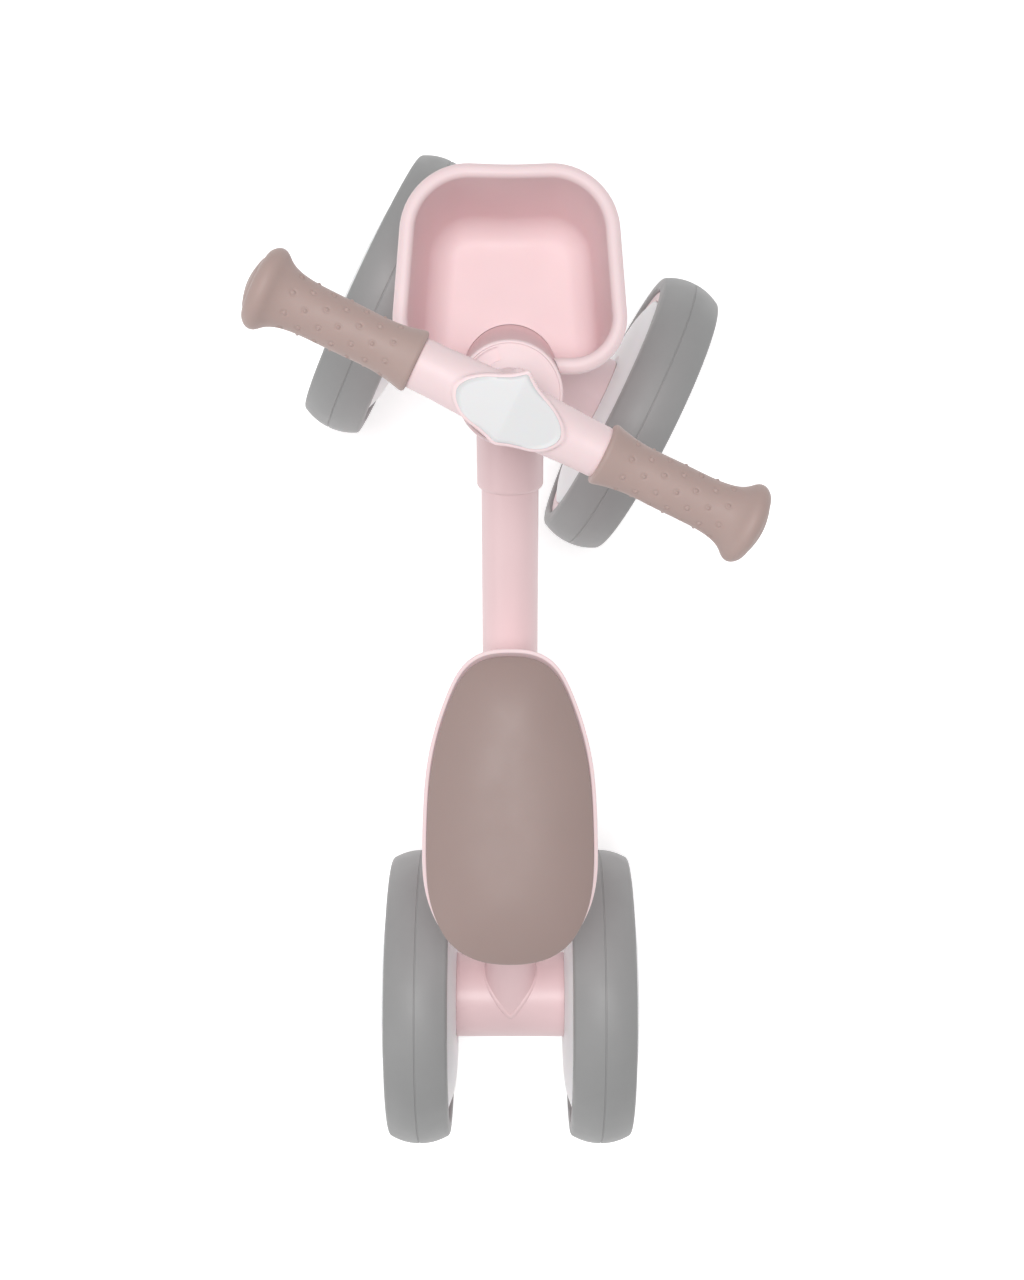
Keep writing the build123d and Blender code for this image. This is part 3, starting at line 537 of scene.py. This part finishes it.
def swept_loop(path, radius_at, steps):
    """Round bar along a closed path, with a radius for each of its points."""
    points = [Vector(p) for p in path]
    total = len(points)
    rings = []
    for i, here in enumerate(points):
        ahead = points[(i + 1) % total] - points[i - 1]
        side = ahead.cross(Vector((0.3, 0.1, 1.0))).normalized()
        up = side.cross(ahead).normalized()
        turns = [2 * math.pi * k / steps for k in range(steps)]
        rings.append([tuple(here + (side * math.cos(turn) + up * math.sin(turn)) * radius_at(i)) for turn in turns])
    return looped(rings)


# ---------------------------------------------------------------- wheels

def tread_radius(y):
    """Radius of the crowned tread, this far from the tyre's middle."""
    s = sizes()
    return s.wheel_radius - s.tread_crown * (abs(y) / s.tyre_half_width) ** 2.15


def tyre_profile():
    """Half section mirrored: bore, side wall, rounded shoulder, crowned tread, and the mould's seam."""
    s = sizes()
    width, bore = s.tyre_half_width, s.tyre_bore
    shoulder = width - 2.2 * MM
    edge = tread_radius(shoulder)
    wall_top = edge - 4.4 * MM
    half = [(bore, 0.0), (bore, width - 1.2 * MM), (bore + 0.3 * MM, width - 0.4 * MM),
            (bore + 1.1 * MM, width)]
    half += [(bore + share * (wall_top - bore), width + 0.05 * MM * math.sin(share * math.pi))
             for share in (0.35, 0.6, 0.85, 1.0)]
    turn = [(wall_top, width, 0), (edge - 0.7 * MM, width - 0.35 * MM, 3.0 * MM), (edge, shoulder, 0)]
    half += rounded(turn, 7, closed=False)[1:]
    half += [(tread_radius(y), y) for y in np.linspace(shoulder, 1.1 * MM, 16)[1:]]
    half += [(s.wheel_radius - 0.02 * MM, 0.5 * MM), (s.wheel_radius - 0.4 * MM, 0.22 * MM)]
    return half + [(r, -z) for r, z in reversed(half[1:])] + [(bore, -0.001 * MM)]


def disc_profile(hole):
    """Outside of a wheel disc as a thin closed shell: dome, step, and a shallow pocket round the axle."""
    edge = sizes().disc_radius
    face, pocket, wall = 21.1 * MM, 19.9 * MM, 1.8 * MM
    dome = spline([(edge - 0.4 * MM, 16.0 * MM), (58 * MM, 18.9 * MM), (46 * MM, 20.8 * MM),
                   (34 * MM, face), (29.2 * MM, face)], 26, closed=False)
    step = rounded([(29.2 * MM, face, 0), (28.1 * MM, face, 0.9 * MM), (26.6 * MM, pocket, 1.4 * MM),
                    (hole + 0.6 * MM, pocket, 0)], 5, closed=False)
    back = [(hole, pocket - 0.5 * MM), (hole, pocket - wall), (29 * MM, pocket - wall),
            (46 * MM, 18.6 * MM), (57 * MM, 16.5 * MM), (edge - 2.4 * MM, 14.4 * MM),
            (edge - 2.4 * MM, 7.4 * MM), (edge, 7.4 * MM), (edge, 15.4 * MM)]
    return dome + step[1:] + back


def rim_mesh():
    """Rim band on a web and hub, with eight spokes through the web."""
    s = sizes()
    band_in, band_out, band_half = s.disc_radius + 0.3 * MM, s.tyre_bore - 0.1 * MM, 15.4 * MM
    hub_out, hub_in, hub_half, web_half = 15.5 * MM, 11.02 * MM, 13 * MM, 2 * MM
    band = rounded([
        (band_in, -band_half, 0.8 * MM), (band_out, -band_half, 0.9 * MM),
        (band_out, band_half, 0.9 * MM), (band_in, band_half, 0.8 * MM),
        (band_in, web_half, 0.8 * MM), (hub_out, web_half, 0.8 * MM), (hub_out, hub_half, 0.5 * MM),
        (hub_in, hub_half, 0.3 * MM), (hub_in, -hub_half, 0.3 * MM),
        (hub_out, -hub_half, 0.5 * MM), (hub_out, -web_half, 0.8 * MM), (band_in, -web_half, 0.8 * MM),
    ], 4)
    root, tip, spoke_half = 15 * MM, 67 * MM, 1.2 * MM
    corners = rounded([(root, -spoke_half, 0.4 * MM), (tip, -spoke_half, 0.4 * MM),
                       (tip, spoke_half, 0.4 * MM), (root, spoke_half, 0.4 * MM)], 2)
    spoke = capped([[(x, y, z) for x, y in corners] for z in (-7 * MM, 7 * MM)])
    spokes = [placed(spoke, Matrix.Rotation(math.pi / 4 * k, 4, "Z")) for k in range(8)]
    return joined(turned_ring_mesh(band, 160), *spokes)


def build_wheel(corner):
    """One wheel's tyre, rim, two discs and snap cap, all riding on that wheel's body."""
    place = wheel_place(corner)
    turned_over = place @ Matrix.Rotation(math.pi, 4, "X")
    outer_hole, inner_hole = 14.5 * MM, 8.6 * MM
    rise = 20.1 * MM
    clip = [(12.4 * MM, rise), (12.4 * MM, rise - 3.5 * MM), (14.3 * MM, rise - 3.5 * MM), (14.3 * MM, rise),
            (16.8 * MM, rise)]
    dome = spline([(17 * MM, rise + 0.3 * MM), (16.2 * MM, rise + 1.2 * MM), (11.9 * MM, rise + 2.4 * MM),
                   (6 * MM, rise + 3.2 * MM), (0.4 * MM, rise + 3.5 * MM)], 22, closed=False)
    parts = (
        ("foam_tyre", turned_ring_mesh(tyre_profile(), 200), place, "foam_tyre", 50, "tyre"),
        ("moulded_rim", rim_mesh(), place, "pink_moulding", 40, "rim"),
        ("outside_disc", turned_ring_mesh(disc_profile(outer_hole), 160), place, "white_moulding", 40,
         "outer_disc"),
        ("inside_disc", turned_ring_mesh(disc_profile(inner_hole), 160), turned_over, "white_moulding", 40,
         "inner_disc"),
        ("snap_cap", turned_solid_mesh(clip + dome, 96), place, "white_moulding", 40, "hub_cap"),
    )
    for name, mesh, where, slot, sharp_degrees, node in parts:
        piece = mesh_piece(f"{corner}_{name}", *mesh, where, slot, f"{corner}_wheel", sharp_degrees)
        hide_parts(f"{corner}_{node}")


# ---------------------------------------------------------------- frame

def weld_path():
    """Where the main tube's wall meets the rear axle housing, in the rear axle's frame."""
    s = sizes()
    sine, cosine = math.sin(s.tube_slope), math.cos(s.tube_slope)
    count = 180
    path = []
    for k in range(count):
        turn = 2 * math.pi * k / count
        rise = s.tube_radius * math.cos(turn)
        out = s.tube_radius * math.sin(turn)
        spare = rise ** 2 + 2 * TUBE_LIFT * rise * cosine + TUBE_LIFT ** 2 - s.housing_radius ** 2
        along = -TUBE_LIFT * sine + math.sqrt(max(0.0, (TUBE_LIFT * sine) ** 2 - spare))
        path.append((along * cosine - rise * sine, out, TUBE_LIFT + along * sine + rise * cosine))
    return path


def build_weld():
    """Weld bead between main tube and rear axle housing, its ripples softened by the powder coat."""
    sunk = 0.958  # the bead's middle lies just under the surfaces it joins
    path = [tuple(Vector(p) * sunk) for p in weld_path()]
    bead = swept_loop(path, lambda i: (1.9 + 0.06 * math.sin(i * 1.9)) * MM, 16)
    mesh_piece("main_tube_weld", *bead, REAR, "frame_paint", "frame", 180)


SADDLE_HALF = [
    (0.0, 0.0), (0.011, 0.31), (0.037, 0.475), (0.085, 0.615), (0.15, 0.725), (0.25, 0.848), (0.37, 0.943),
    (0.52, 0.989), (0.635, 1.0), (0.77, 0.973), (0.86, 0.875), (0.935, 0.7), (0.98, 0.45), (1.0, 0.0),
]
SADDLE_POINTS = 144


def saddle_loop():
    """Closed saddle outline as shares of its length and half width: rounded nose, broad tail."""
    length, half_width = 155.7, 44.2
    half = [(along * length, across * half_width) for along, across in SADDLE_HALF]
    loop = spline(half + [(x, -y) for x, y in reversed(half[1:-1])], SADDLE_POINTS)
    return [(x / length, y / half_width) for x, y in loop]


def saddle_ring(loop, nose, tail, half_width, height):
    """The saddle's outline in the bike's frame, about the rear axle."""
    return [(nose + (tail - nose) * along + LAYOUT_AHEAD, half_width * across, height - AXLE_HEIGHT)
            for along, across in loop]


def build_saddle():
    """Moulded tray with its screw boss, and the pad that sits in it."""
    loop = saddle_loop()
    rim, base, nose, tail, half = 238 * MM, 220 * MM, -4.5 * MM, -160.2 * MM, 44.2 * MM
    climb = rim - base

    def level(inset, height, drop=0.0):
        """A ring at a height, drawn in from the tray's rim, and narrower still by the taper of drop."""
        return saddle_ring(loop, nose - inset - drop * 19.5 * MM, tail + inset + drop * 18.2 * MM,
                           half - inset - drop * 17.2 * MM, height)

    outside = [level(0.4 * MM, base, 1.0), level(0, base + 0.6 * MM, 0.97)]
    outside += [level(0, base + climb * share, (1 - share) ** 0.9) for share in (0.2, 0.4, 0.6, 0.8, 0.92)]
    outside += [level(0.0, rim - 0.5 * MM), level(0.15 * MM, rim - 0.12 * MM), level(0.5 * MM, rim)]
    inside = [level(1.6 * MM, rim), level(1.95 * MM, rim - 0.12 * MM), level(2.1 * MM, rim - 0.5 * MM)]
    inside += [level(2.2 * MM, base + climb * share, (1 - share) ** 0.9) for share in (0.8, 0.5, 0.2)]
    tray = mesh_piece("saddle_tray", *capped(outside + inside), REAR, "pink_moulding", "seat")
    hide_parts("seat_shell")
    boss = turned_solid_mesh([(11.1 * MM, 54 * MM), (15.4 * MM, 54 * MM), (16 * MM, 54.6 * MM),
                              (16 * MM, 75 * MM)], 64)
    post_foot = moved(x=POST_AHEAD, z=TUBE_LIFT + POST_AHEAD * math.tan(sizes().tube_slope))
    mesh_piece("saddle_boss", *boss, REAR @ post_foot @ Matrix.Rotation(-POST_TILT, 4, "Y"), "pink_moulding",
               "seat")

    # Pad: its foot stands in the tray, its lip laps the tray's tail, and its top is one long soft crown.
    pad_nose, pad_tail, pad_half, top = -8.3 * MM, -163.0 * MM, 42.0 * MM, 250 * MM
    lip = rim + 0.35 * MM

    def pad_level(inset, height):
        return saddle_ring(loop, pad_nose - inset, pad_tail + inset * 1.05, pad_half - inset, height)

    rings = [saddle_ring(loop, -17 * MM, -148.5 * MM, 33 * MM, rim - 8 * MM),
             saddle_ring(loop, -12.5 * MM, -152.5 * MM, 36.9 * MM, rim - 4 * MM),
             saddle_ring(loop, -8.8 * MM, -157 * MM, 41 * MM, rim - 0.2 * MM), pad_level(0.9 * MM, lip),
             pad_level(0.35 * MM, lip + 0.15 * MM), pad_level(0.06 * MM, lip + 0.6 * MM),
             pad_level(0, lip + 1.2 * MM)]
    edge, reach, steps = lip + 1.2 * MM, pad_half * 0.97, 33
    for k in range(1, steps):
        inset = reach * (k / steps) ** 1.25
        bulge = (1 - (1 - min(1.0, inset / reach)) ** 2.2) ** 0.84
        rings.append(pad_level(inset, edge + (top - edge) * bulge))
    pad = mesh_piece("saddle_pad", *capped(rings), REAR, "seat_foam", "seat", 180)
    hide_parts("seat_pad")


def basket_ring(inset, height, dip):
    """Rounded trapezoid in the bike's frame, drawn in by inset, its front middle dented by dip."""
    back, front, back_half, front_half = 129.5 * MM, 231.5 * MM, 59.2 * MM, 51.2 * MM
    arc_steps, side_steps = 16, 14
    slope = (back_half - front_half) / (front - back)
    front_radius, back_radius = max(4 * MM, 34 * MM - inset), max(4 * MM, 27 * MM - inset)
    corners = [
        (front - inset, front_half - inset + slope * inset, front_radius),
        (back + inset, back_half - inset - slope * inset, back_radius),
        (back + inset, -back_half + inset + slope * inset, back_radius),
        (front - inset, -front_half + inset - slope * inset, front_radius),
    ]
    outline = rounded(corners, arc_steps)
    arcs = [outline[k:k + arc_steps + 1] for k in range(0, len(outline), arc_steps + 1)]
    ring = []
    for arc, following in zip(arcs, arcs[1:] + arcs[:1]):
        ring += arc
        start, end = Vector(arc[-1]), Vector(following[0])
        ring += [tuple(start.lerp(end, step / side_steps)) for step in range(1, side_steps)]
    shifted = []
    for x, y in ring:
        towards_front = max(0.0, (x - 215 * MM) / (15 * MM))
        sag = dip * towards_front * math.exp(-(y / (16 * MM)) ** 2)
        shifted.append((x - sag + LAYOUT_AHEAD, y, height - AXLE_HEIGHT))
    return shifted


def build_basket():
    """Bucket with a rolled rim, drafted walls and soft floor edges, cut back round the head tube."""
    s = sizes()
    rim_z, floor_z, wall, width = 270 * MM, 199 * MM, 2.8 * MM, s.rim_width
    draft = 5.5 * MM
    outer_bend, inner_bend, bend_steps = 14 * MM, 13 * MM, 8
    under, lip, dent = floor_z - wall, rim_z - 8 * MM, 0.7 * MM
    outside, inside = width - wall, width

    def wall_inset(start, height):
        return start + draft * (rim_z - 7 * MM - height) / (rim_z - 7 * MM - under)

    def floor_bend(start, bottom, radius, turn):
        """Point on the soft edge between floor and wall: turn 0 on the floor's level, a quarter turn on the wall."""
        height = bottom + radius * (1 - math.cos(turn))
        return wall_inset(start, height) + radius * (1 - math.sin(turn)), height

    profile = [(outside + draft + outer_bend, under)]
    profile += [floor_bend(outside, under, outer_bend, math.pi / 2 * k / bend_steps)
                for k in range(1, bend_steps + 1)]
    roll_start = rim_z - 8.6 * MM
    profile += [(wall_inset(outside, h), h) for h in (under + 30 * MM, under + 50 * MM, roll_start)]
    roll = [(wall_inset(outside, roll_start), roll_start, 0), (outside, lip, 0.4 * MM), (0.0, lip, 0.8 * MM),
            (0.0, rim_z, 3.4 * MM), (width, rim_z, 3.0 * MM), (width + 0.3 * MM, lip, 0)]
    profile += rounded(roll, 8, closed=False)[1:]
    profile += [(wall_inset(inside, h), h) for h in (rim_z - 20 * MM, rim_z - 40 * MM, floor_z + 20 * MM)]
    profile += [floor_bend(inside, floor_z, inner_bend, math.pi / 2 * (1 - k / bend_steps))
                for k in range(bend_steps + 1)]
    profile += [(inside + draft + inner_bend + step * MM, floor_z) for step in (4, 9, 14)]
    rings = [basket_ring(inset, height, dent) for inset, height in profile]
    basket = new_object("bucket_basket", *capped(rings), REAR)
    room = s.head_radius + 0.25 * MM
    cutter = new_object("head_tube_cutter", *turned_solid_mesh([(room, 60 * MM), (room, 300 * MM)], 160), HEAD)
    cut = basket.modifiers.new("head_tube_clearance", "BOOLEAN")
    cut.operation, cut.object, cut.solver = "DIFFERENCE", cutter, "EXACT"
    shown = basket.evaluated_get(bpy.context.evaluated_depsgraph_get())
    basket.data = bpy.data.meshes.new_from_object(shown)
    basket.modifiers.clear()
    bpy.data.objects.remove(cutter)
    finish_piece(basket, "pink_moulding", "frame", 38)
    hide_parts("basket")


# ---------------------------------------------------------------- bars

# Half of the badge's outline in millimetres, and its half length and half width
PLATE_HALF = [
    (17.2, 0.0), (16.2, 1.7), (13.6, 5.2), (9.7, 13.5), (5.6, 20.3), (-1.0, 24.3), (-7.4, 20.6),
    (-10.7, 14.2), (-12.2, 7.2), (-13.9, 1.9), (-14.4, 0.0),
]
PLATE_LONG, PLATE_WIDE = 15.8, 24.3


def plate_loop():
    """Closed eye-shaped outline in millimetres, pointed forward and blunter aft."""
    return spline(PLATE_HALF + [(x, -y) for x, y in reversed(PLATE_HALF[1:-1])], 160)


def plate_ring(loop, margin, height, scale=1.0):
    """The badge's outline at a height, grown by a margin in millimetres and scaled."""
    grow_x, grow_y = (1 + margin / PLATE_LONG) * scale * MM, (1 + margin / PLATE_WIDE) * scale * MM
    return [(x * grow_x, y * grow_y, height) for x, y in loop]


def build_handlebar():
    """Moulded bar cover with its arms, neck and bolt boss, and the blank faceted badge on top."""
    s = sizes()
    deck = 12.6 * MM
    bar = s.bar_radius
    half = [(bar + 1.0 * MM, 12 * MM), (bar + 0.5 * MM, 24 * MM), (bar, 34 * MM), (bar, 44.3 * MM),
            (bar - 0.6 * MM, 44.9 * MM)]
    arm = [(r, -z) for r, z in reversed(half)] + half
    arms = placed(turned_solid_mesh(arm, 96), moved(z=s.bar_height) @ Matrix.Rotation(-math.pi / 2, 4, "X"))
    loop = plate_loop()
    pod = capped([plate_ring(loop, margin, s.bar_height + height) for margin, height in (
        (-2.0, -9 * MM), (0.2, -3 * MM), (1.2, 6 * MM), (1.75, deck + 0.3 * MM))])
    foot, radius, bevel = 241 * MM, 14 * MM, 0.8 * MM
    neck = turned_solid_mesh([(radius - bevel, foot), (radius, foot + bevel), (radius, s.bar_height)], 96)
    boss = placed(turned_solid_mesh([(4.6 * MM, 0), (4.6 * MM, 4.8 * MM), (3.4 * MM, 5.8 * MM)], 40),
                  moved(x=10 * MM, z=262 * MM) @ Matrix.Rotation(math.pi / 2, 4, "Y"))
    voxel, smoothing = 0.65 * MM, 14
    cover = fused_piece("bar_cover", [arms, pod, neck, boss], STEERED, "pink_moulding", "steering", voxel,
                        smoothing)
    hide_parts("handlebar")

    base = s.bar_height + deck - 1.15 * MM
    facet, steps = math.tan(math.radians(4.2)), 25
    rings = [plate_ring(loop, -0.1, base), plate_ring(loop, -0.1, base + 1.9 * MM),
             plate_ring(loop, -0.25, base + 2.3 * MM)]
    for k in range(1, steps):
        flat = plate_ring(loop, -0.7, base, 1 - k / steps)
        rings.append([(x, y, base + 3.3 * MM - facet * math.hypot(y, 0.6 * MM)
                       - 0.9 * MM * max(0.0, abs(x / MM) / PLATE_LONG - 0.45) ** 2) for x, y, _ in flat])
    # The badge is white moulding, given the darker copy of that finish as painted shade.
    plate = mesh_piece("badge_blank", *capped(rings), STEERED, "white_moulding", "steering", 60, "blank_badge")
    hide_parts("badge_plate")


def grip_profile():
    """Half section from inside the flange to the domed end, with a row every half millimetre where dots stand."""
    waist, start, end = sizes().grip_waist / MM, GRIP_START, 123.0
    flange, bulb = 13.9, 18.4
    lip = [(flange - 4.0, start), (flange - 1.5, start), (flange - 0.6, start + 0.3),
           (flange - 0.1, start + 1.0), (flange, start + 1.9)]
    handle = spline([
        (flange, start + 1.9), (waist + 1.1, start + 7.5), (waist, start + 15.0), (waist - 0.1, start + 30.0),
        (waist, start + 46.0), (waist + 0.6, start + 56.0), (waist + 2.1, start + 62.0),
        (bulb - 2.7, start + 65.6), (bulb - 0.6, start + 68.2), (bulb, start + 70.6),
        (bulb - 1.3, start + 73.4), (bulb - 3.4, start + 75.0), (bulb - 5.0, start + 75.5),
    ], 190, closed=False)
    groove = [(bulb - 5.6, end - 3.35), (bulb - 6.1, end - 3.3), (bulb - 6.6, end - 2.9)]
    dome = spline([(bulb - 7.4, end - 2.3), (7.5, end - 1.2), (3.5, end - 0.35), (0.4, end)], 12, closed=False)
    return [(r * MM, z * MM) for r, z in lip + handle[1:] + groove + dome]


def dot_swell(share):
    """Height of a dot and its moat as a share of the dot's own height, from its middle at 0 to its rim at 1."""
    dome = math.exp(-(share / 0.42) ** 2)
    moat = 1.1 * math.exp(-((share - 0.66) / 0.2) ** 2)
    return (1 - share ** 2) * (dome - moat)


def build_grip(side):
    """Soft grip with staggered rows of round dots on its waist, each in its own shallow moat."""
    s = sizes()
    rows = [12.1, 20.0, 27.8, 35.6, 43.0, 50.9, 58.3]
    around, spread = 224, 1.9 * MM
    half_pitch = math.pi / 8
    rings = []
    for radius, z in grip_profile():
        ring = []
        for k in range(around):
            turn = 2 * math.pi * k / around
            swell = 0.0
            for row, along in enumerate(rows):
                away = z - (GRIP_START + along) * MM
                if abs(away) >= spread:
                    continue
                first = half_pitch if row % 2 == 0 else 0.0
                nearest = (turn - first + half_pitch) % (2 * half_pitch) - half_pitch
                share = math.hypot(away, nearest * radius) / spread
                if share < 1:
                    swell = s.grip_dot_height * dot_swell(share)
            ring.append(((radius + swell) * math.cos(turn), (radius + swell) * math.sin(turn), z))
        rings.append(ring)
    out = STEERED.col[1].to_3d() * (1 if side == "left" else -1)
    up = STEERED.col[2].to_3d()
    origin = STEERED @ Vector((0, 0, s.bar_height))
    place = Matrix.Translation(origin) @ Matrix((up, out.cross(up), out)).transposed().to_4x4()
    grip = mesh_piece(f"{side}_soft_grip", *capped(rings), place, "grip_rubber", "steering", 180)
    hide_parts(f"{side}_grip")


# ---------------------------------------------------------------- the stage

def build_stage():
    """Pale floor, white surround and soft overhead light, with the camera straight above the upright bike."""
    scene = bpy.context.scene
    floor_mesh = bpy.data.meshes.new("studio_floor")
    reach = 6.0
    floor_mesh.from_pydata([(-reach, -reach, 0), (reach, -reach, 0), (reach, reach, 0), (-reach, reach, 0)],
                           [], [(0, 1, 2, 3)])
    floor = bpy.data.objects.new("studio_floor", floor_mesh)
    scene.collection.objects.link(floor)
    material, tree, shader, place = new_finish("painted_studio_floor")
    set_shader(shader, Roughness=0.9, Specular_IOR_Level=0.1)
    mottle(tree, shader, place, colours().floor_white, 0.985, 1.0, 900)
    shader.inputs["Emission Color"].default_value = linear(colours().floor_white)
    shader.inputs["Emission Strength"].default_value = 0.40
    floor_mesh.materials.append(material)

    world = bpy.data.worlds.new("white_surround")
    world.use_nodes = True
    scene.world = world
    background = world.node_tree.nodes["Background"]
    background.inputs["Color"].default_value = (1.0, 1.0, 1.0, 1.0)
    background.inputs["Strength"].default_value = 0.38

    def soft_light(name, spot, size, power):
        data = bpy.data.lights.new(name, "AREA")
        data.shape, data.size, data.energy = "DISK", size, power
        light = bpy.data.objects.new(name, data)
        light.location = spot
        light.rotation_euler = (-Vector(spot)).to_track_quat("-Z", "Y").to_euler()
        scene.collection.objects.link(light)

    soft_light("overhead_softbox", (0.05, 0.10, 2.4), 1.0, 28)
    soft_light("left_fill", (-1.2, 1.9, 1.6), 1.4, 7)

    camera_height, camera_right = 1076.3 * MM, 1.0 * MM
    data = bpy.data.cameras.new("overhead_camera")
    data.lens, data.sensor_width = 46.92, 36.0
    camera = bpy.data.objects.new("overhead_camera", data)
    forward, left, up = (REAR.col[k].to_3d() for k in range(3))
    spot = REAR @ Vector((LAYOUT_AHEAD, -camera_right, camera_height - AXLE_HEIGHT))
    camera.matrix_world = Matrix.Translation(spot) @ Matrix((-left, forward, up)).transposed().to_4x4()
    scene.collection.objects.link(camera)
    scene.camera = camera
    scene.view_settings.view_transform = "Standard"


# ---------------------------------------------------------------- operators and panel

def finish_cad_nodes():
    """Gives every shown CAD node the finish of its slot."""
    slots = {row["node"]: row["material_slot"] for row in frame["record"]["subparts"]}
    for name, node in frame["nodes"].items():
        node.data.materials.clear()
        node.data.materials.append(FINISHES[slots[name]])


class BIKE_OT_finishes(bpy.types.Operator):
    """Makes every finish, and gives the CAD parts that stay on show theirs"""
    bl_idname = "bike.finishes"
    bl_label = "Finishes"

    def execute(self, context):
        make_finishes()
        finish_cad_nodes()
        return {"FINISHED"}


class BIKE_OT_wheels(bpy.types.Operator):
    """Builds each wheel's tyre, rim, discs and snap cap"""
    bl_idname = "bike.wheels"
    bl_label = "Wheels"

    def execute(self, context):
        for corner in CORNERS:
            build_wheel(corner)
        return {"FINISHED"}


class BIKE_OT_weld(bpy.types.Operator):
    """Builds the weld bead between main tube and rear axle housing"""
    bl_idname = "bike.weld"
    bl_label = "Weld"

    def execute(self, context):
        build_weld()
        return {"FINISHED"}


class BIKE_OT_basket(bpy.types.Operator):
    """Builds the bucket basket with its rolled rim"""
    bl_idname = "bike.basket"
    bl_label = "Basket"

    def execute(self, context):
        build_basket()
        return {"FINISHED"}


class BIKE_OT_saddle(bpy.types.Operator):
    """Builds the saddle's tray, boss and pad"""
    bl_idname = "bike.saddle"
    bl_label = "Saddle"

    def execute(self, context):
        build_saddle()
        return {"FINISHED"}


class BIKE_OT_handlebar(bpy.types.Operator):
    """Builds the bar cover and its blank badge"""
    bl_idname = "bike.handlebar"
    bl_label = "Handlebar"

    def execute(self, context):
        build_handlebar()
        return {"FINISHED"}


class BIKE_OT_grips(bpy.types.Operator):
    """Builds both soft grips with their rows of dots"""
    bl_idname = "bike.grips"
    bl_label = "Grips"

    def execute(self, context):
        for side in ("left", "right"):
            build_grip(side)
        return {"FINISHED"}


class BIKE_OT_stage(bpy.types.Operator):
    """Builds floor, lights and camera"""
    bl_idname = "bike.stage"
    bl_label = "Stage"

    def execute(self, context):
        build_stage()
        return {"FINISHED"}


OPERATORS = (BIKE_OT_finishes, BIKE_OT_wheels, BIKE_OT_weld, BIKE_OT_basket, BIKE_OT_saddle, BIKE_OT_handlebar,
             BIKE_OT_grips, BIKE_OT_stage)


class BIKE_PT_panel(bpy.types.Panel):
    """Lists the bike's sizes, colours and building steps."""
    bl_label = "Balance Bike"
    bl_idname = "BIKE_PT_panel"
    bl_space_type = "VIEW_3D"
    bl_region_type = "UI"
    bl_category = "Balance Bike"

    def draw(self, context):
        for group, kind in ((sizes(), BikeSizes), (colours(), BikeColours)):
            for name in kind.__annotations__:
                self.layout.prop(group, name)
        for step in OPERATORS:
            self.layout.operator(step.bl_idname)


CLASSES = (BikeSizes, BikeColours, *OPERATORS, BIKE_PT_panel)


def register():
    for item in CLASSES:
        bpy.utils.register_class(item)
    bpy.types.Scene.bike_sizes = bpy.props.PointerProperty(type=BikeSizes)
    bpy.types.Scene.bike_colours = bpy.props.PointerProperty(type=BikeColours)


def unregister():
    del bpy.types.Scene.bike_colours
    del bpy.types.Scene.bike_sizes
    for item in reversed(CLASSES):
        bpy.utils.unregister_class(item)


def main():
    register()
    bpy.ops.bike.finishes()
    bpy.ops.bike.wheels()
    bpy.ops.bike.weld()
    bpy.ops.bike.basket()
    bpy.ops.bike.saddle()
    bpy.ops.bike.handlebar()
    bpy.ops.bike.grips()
    bpy.ops.bike.stage()


if __name__ == "__main__":
    main()
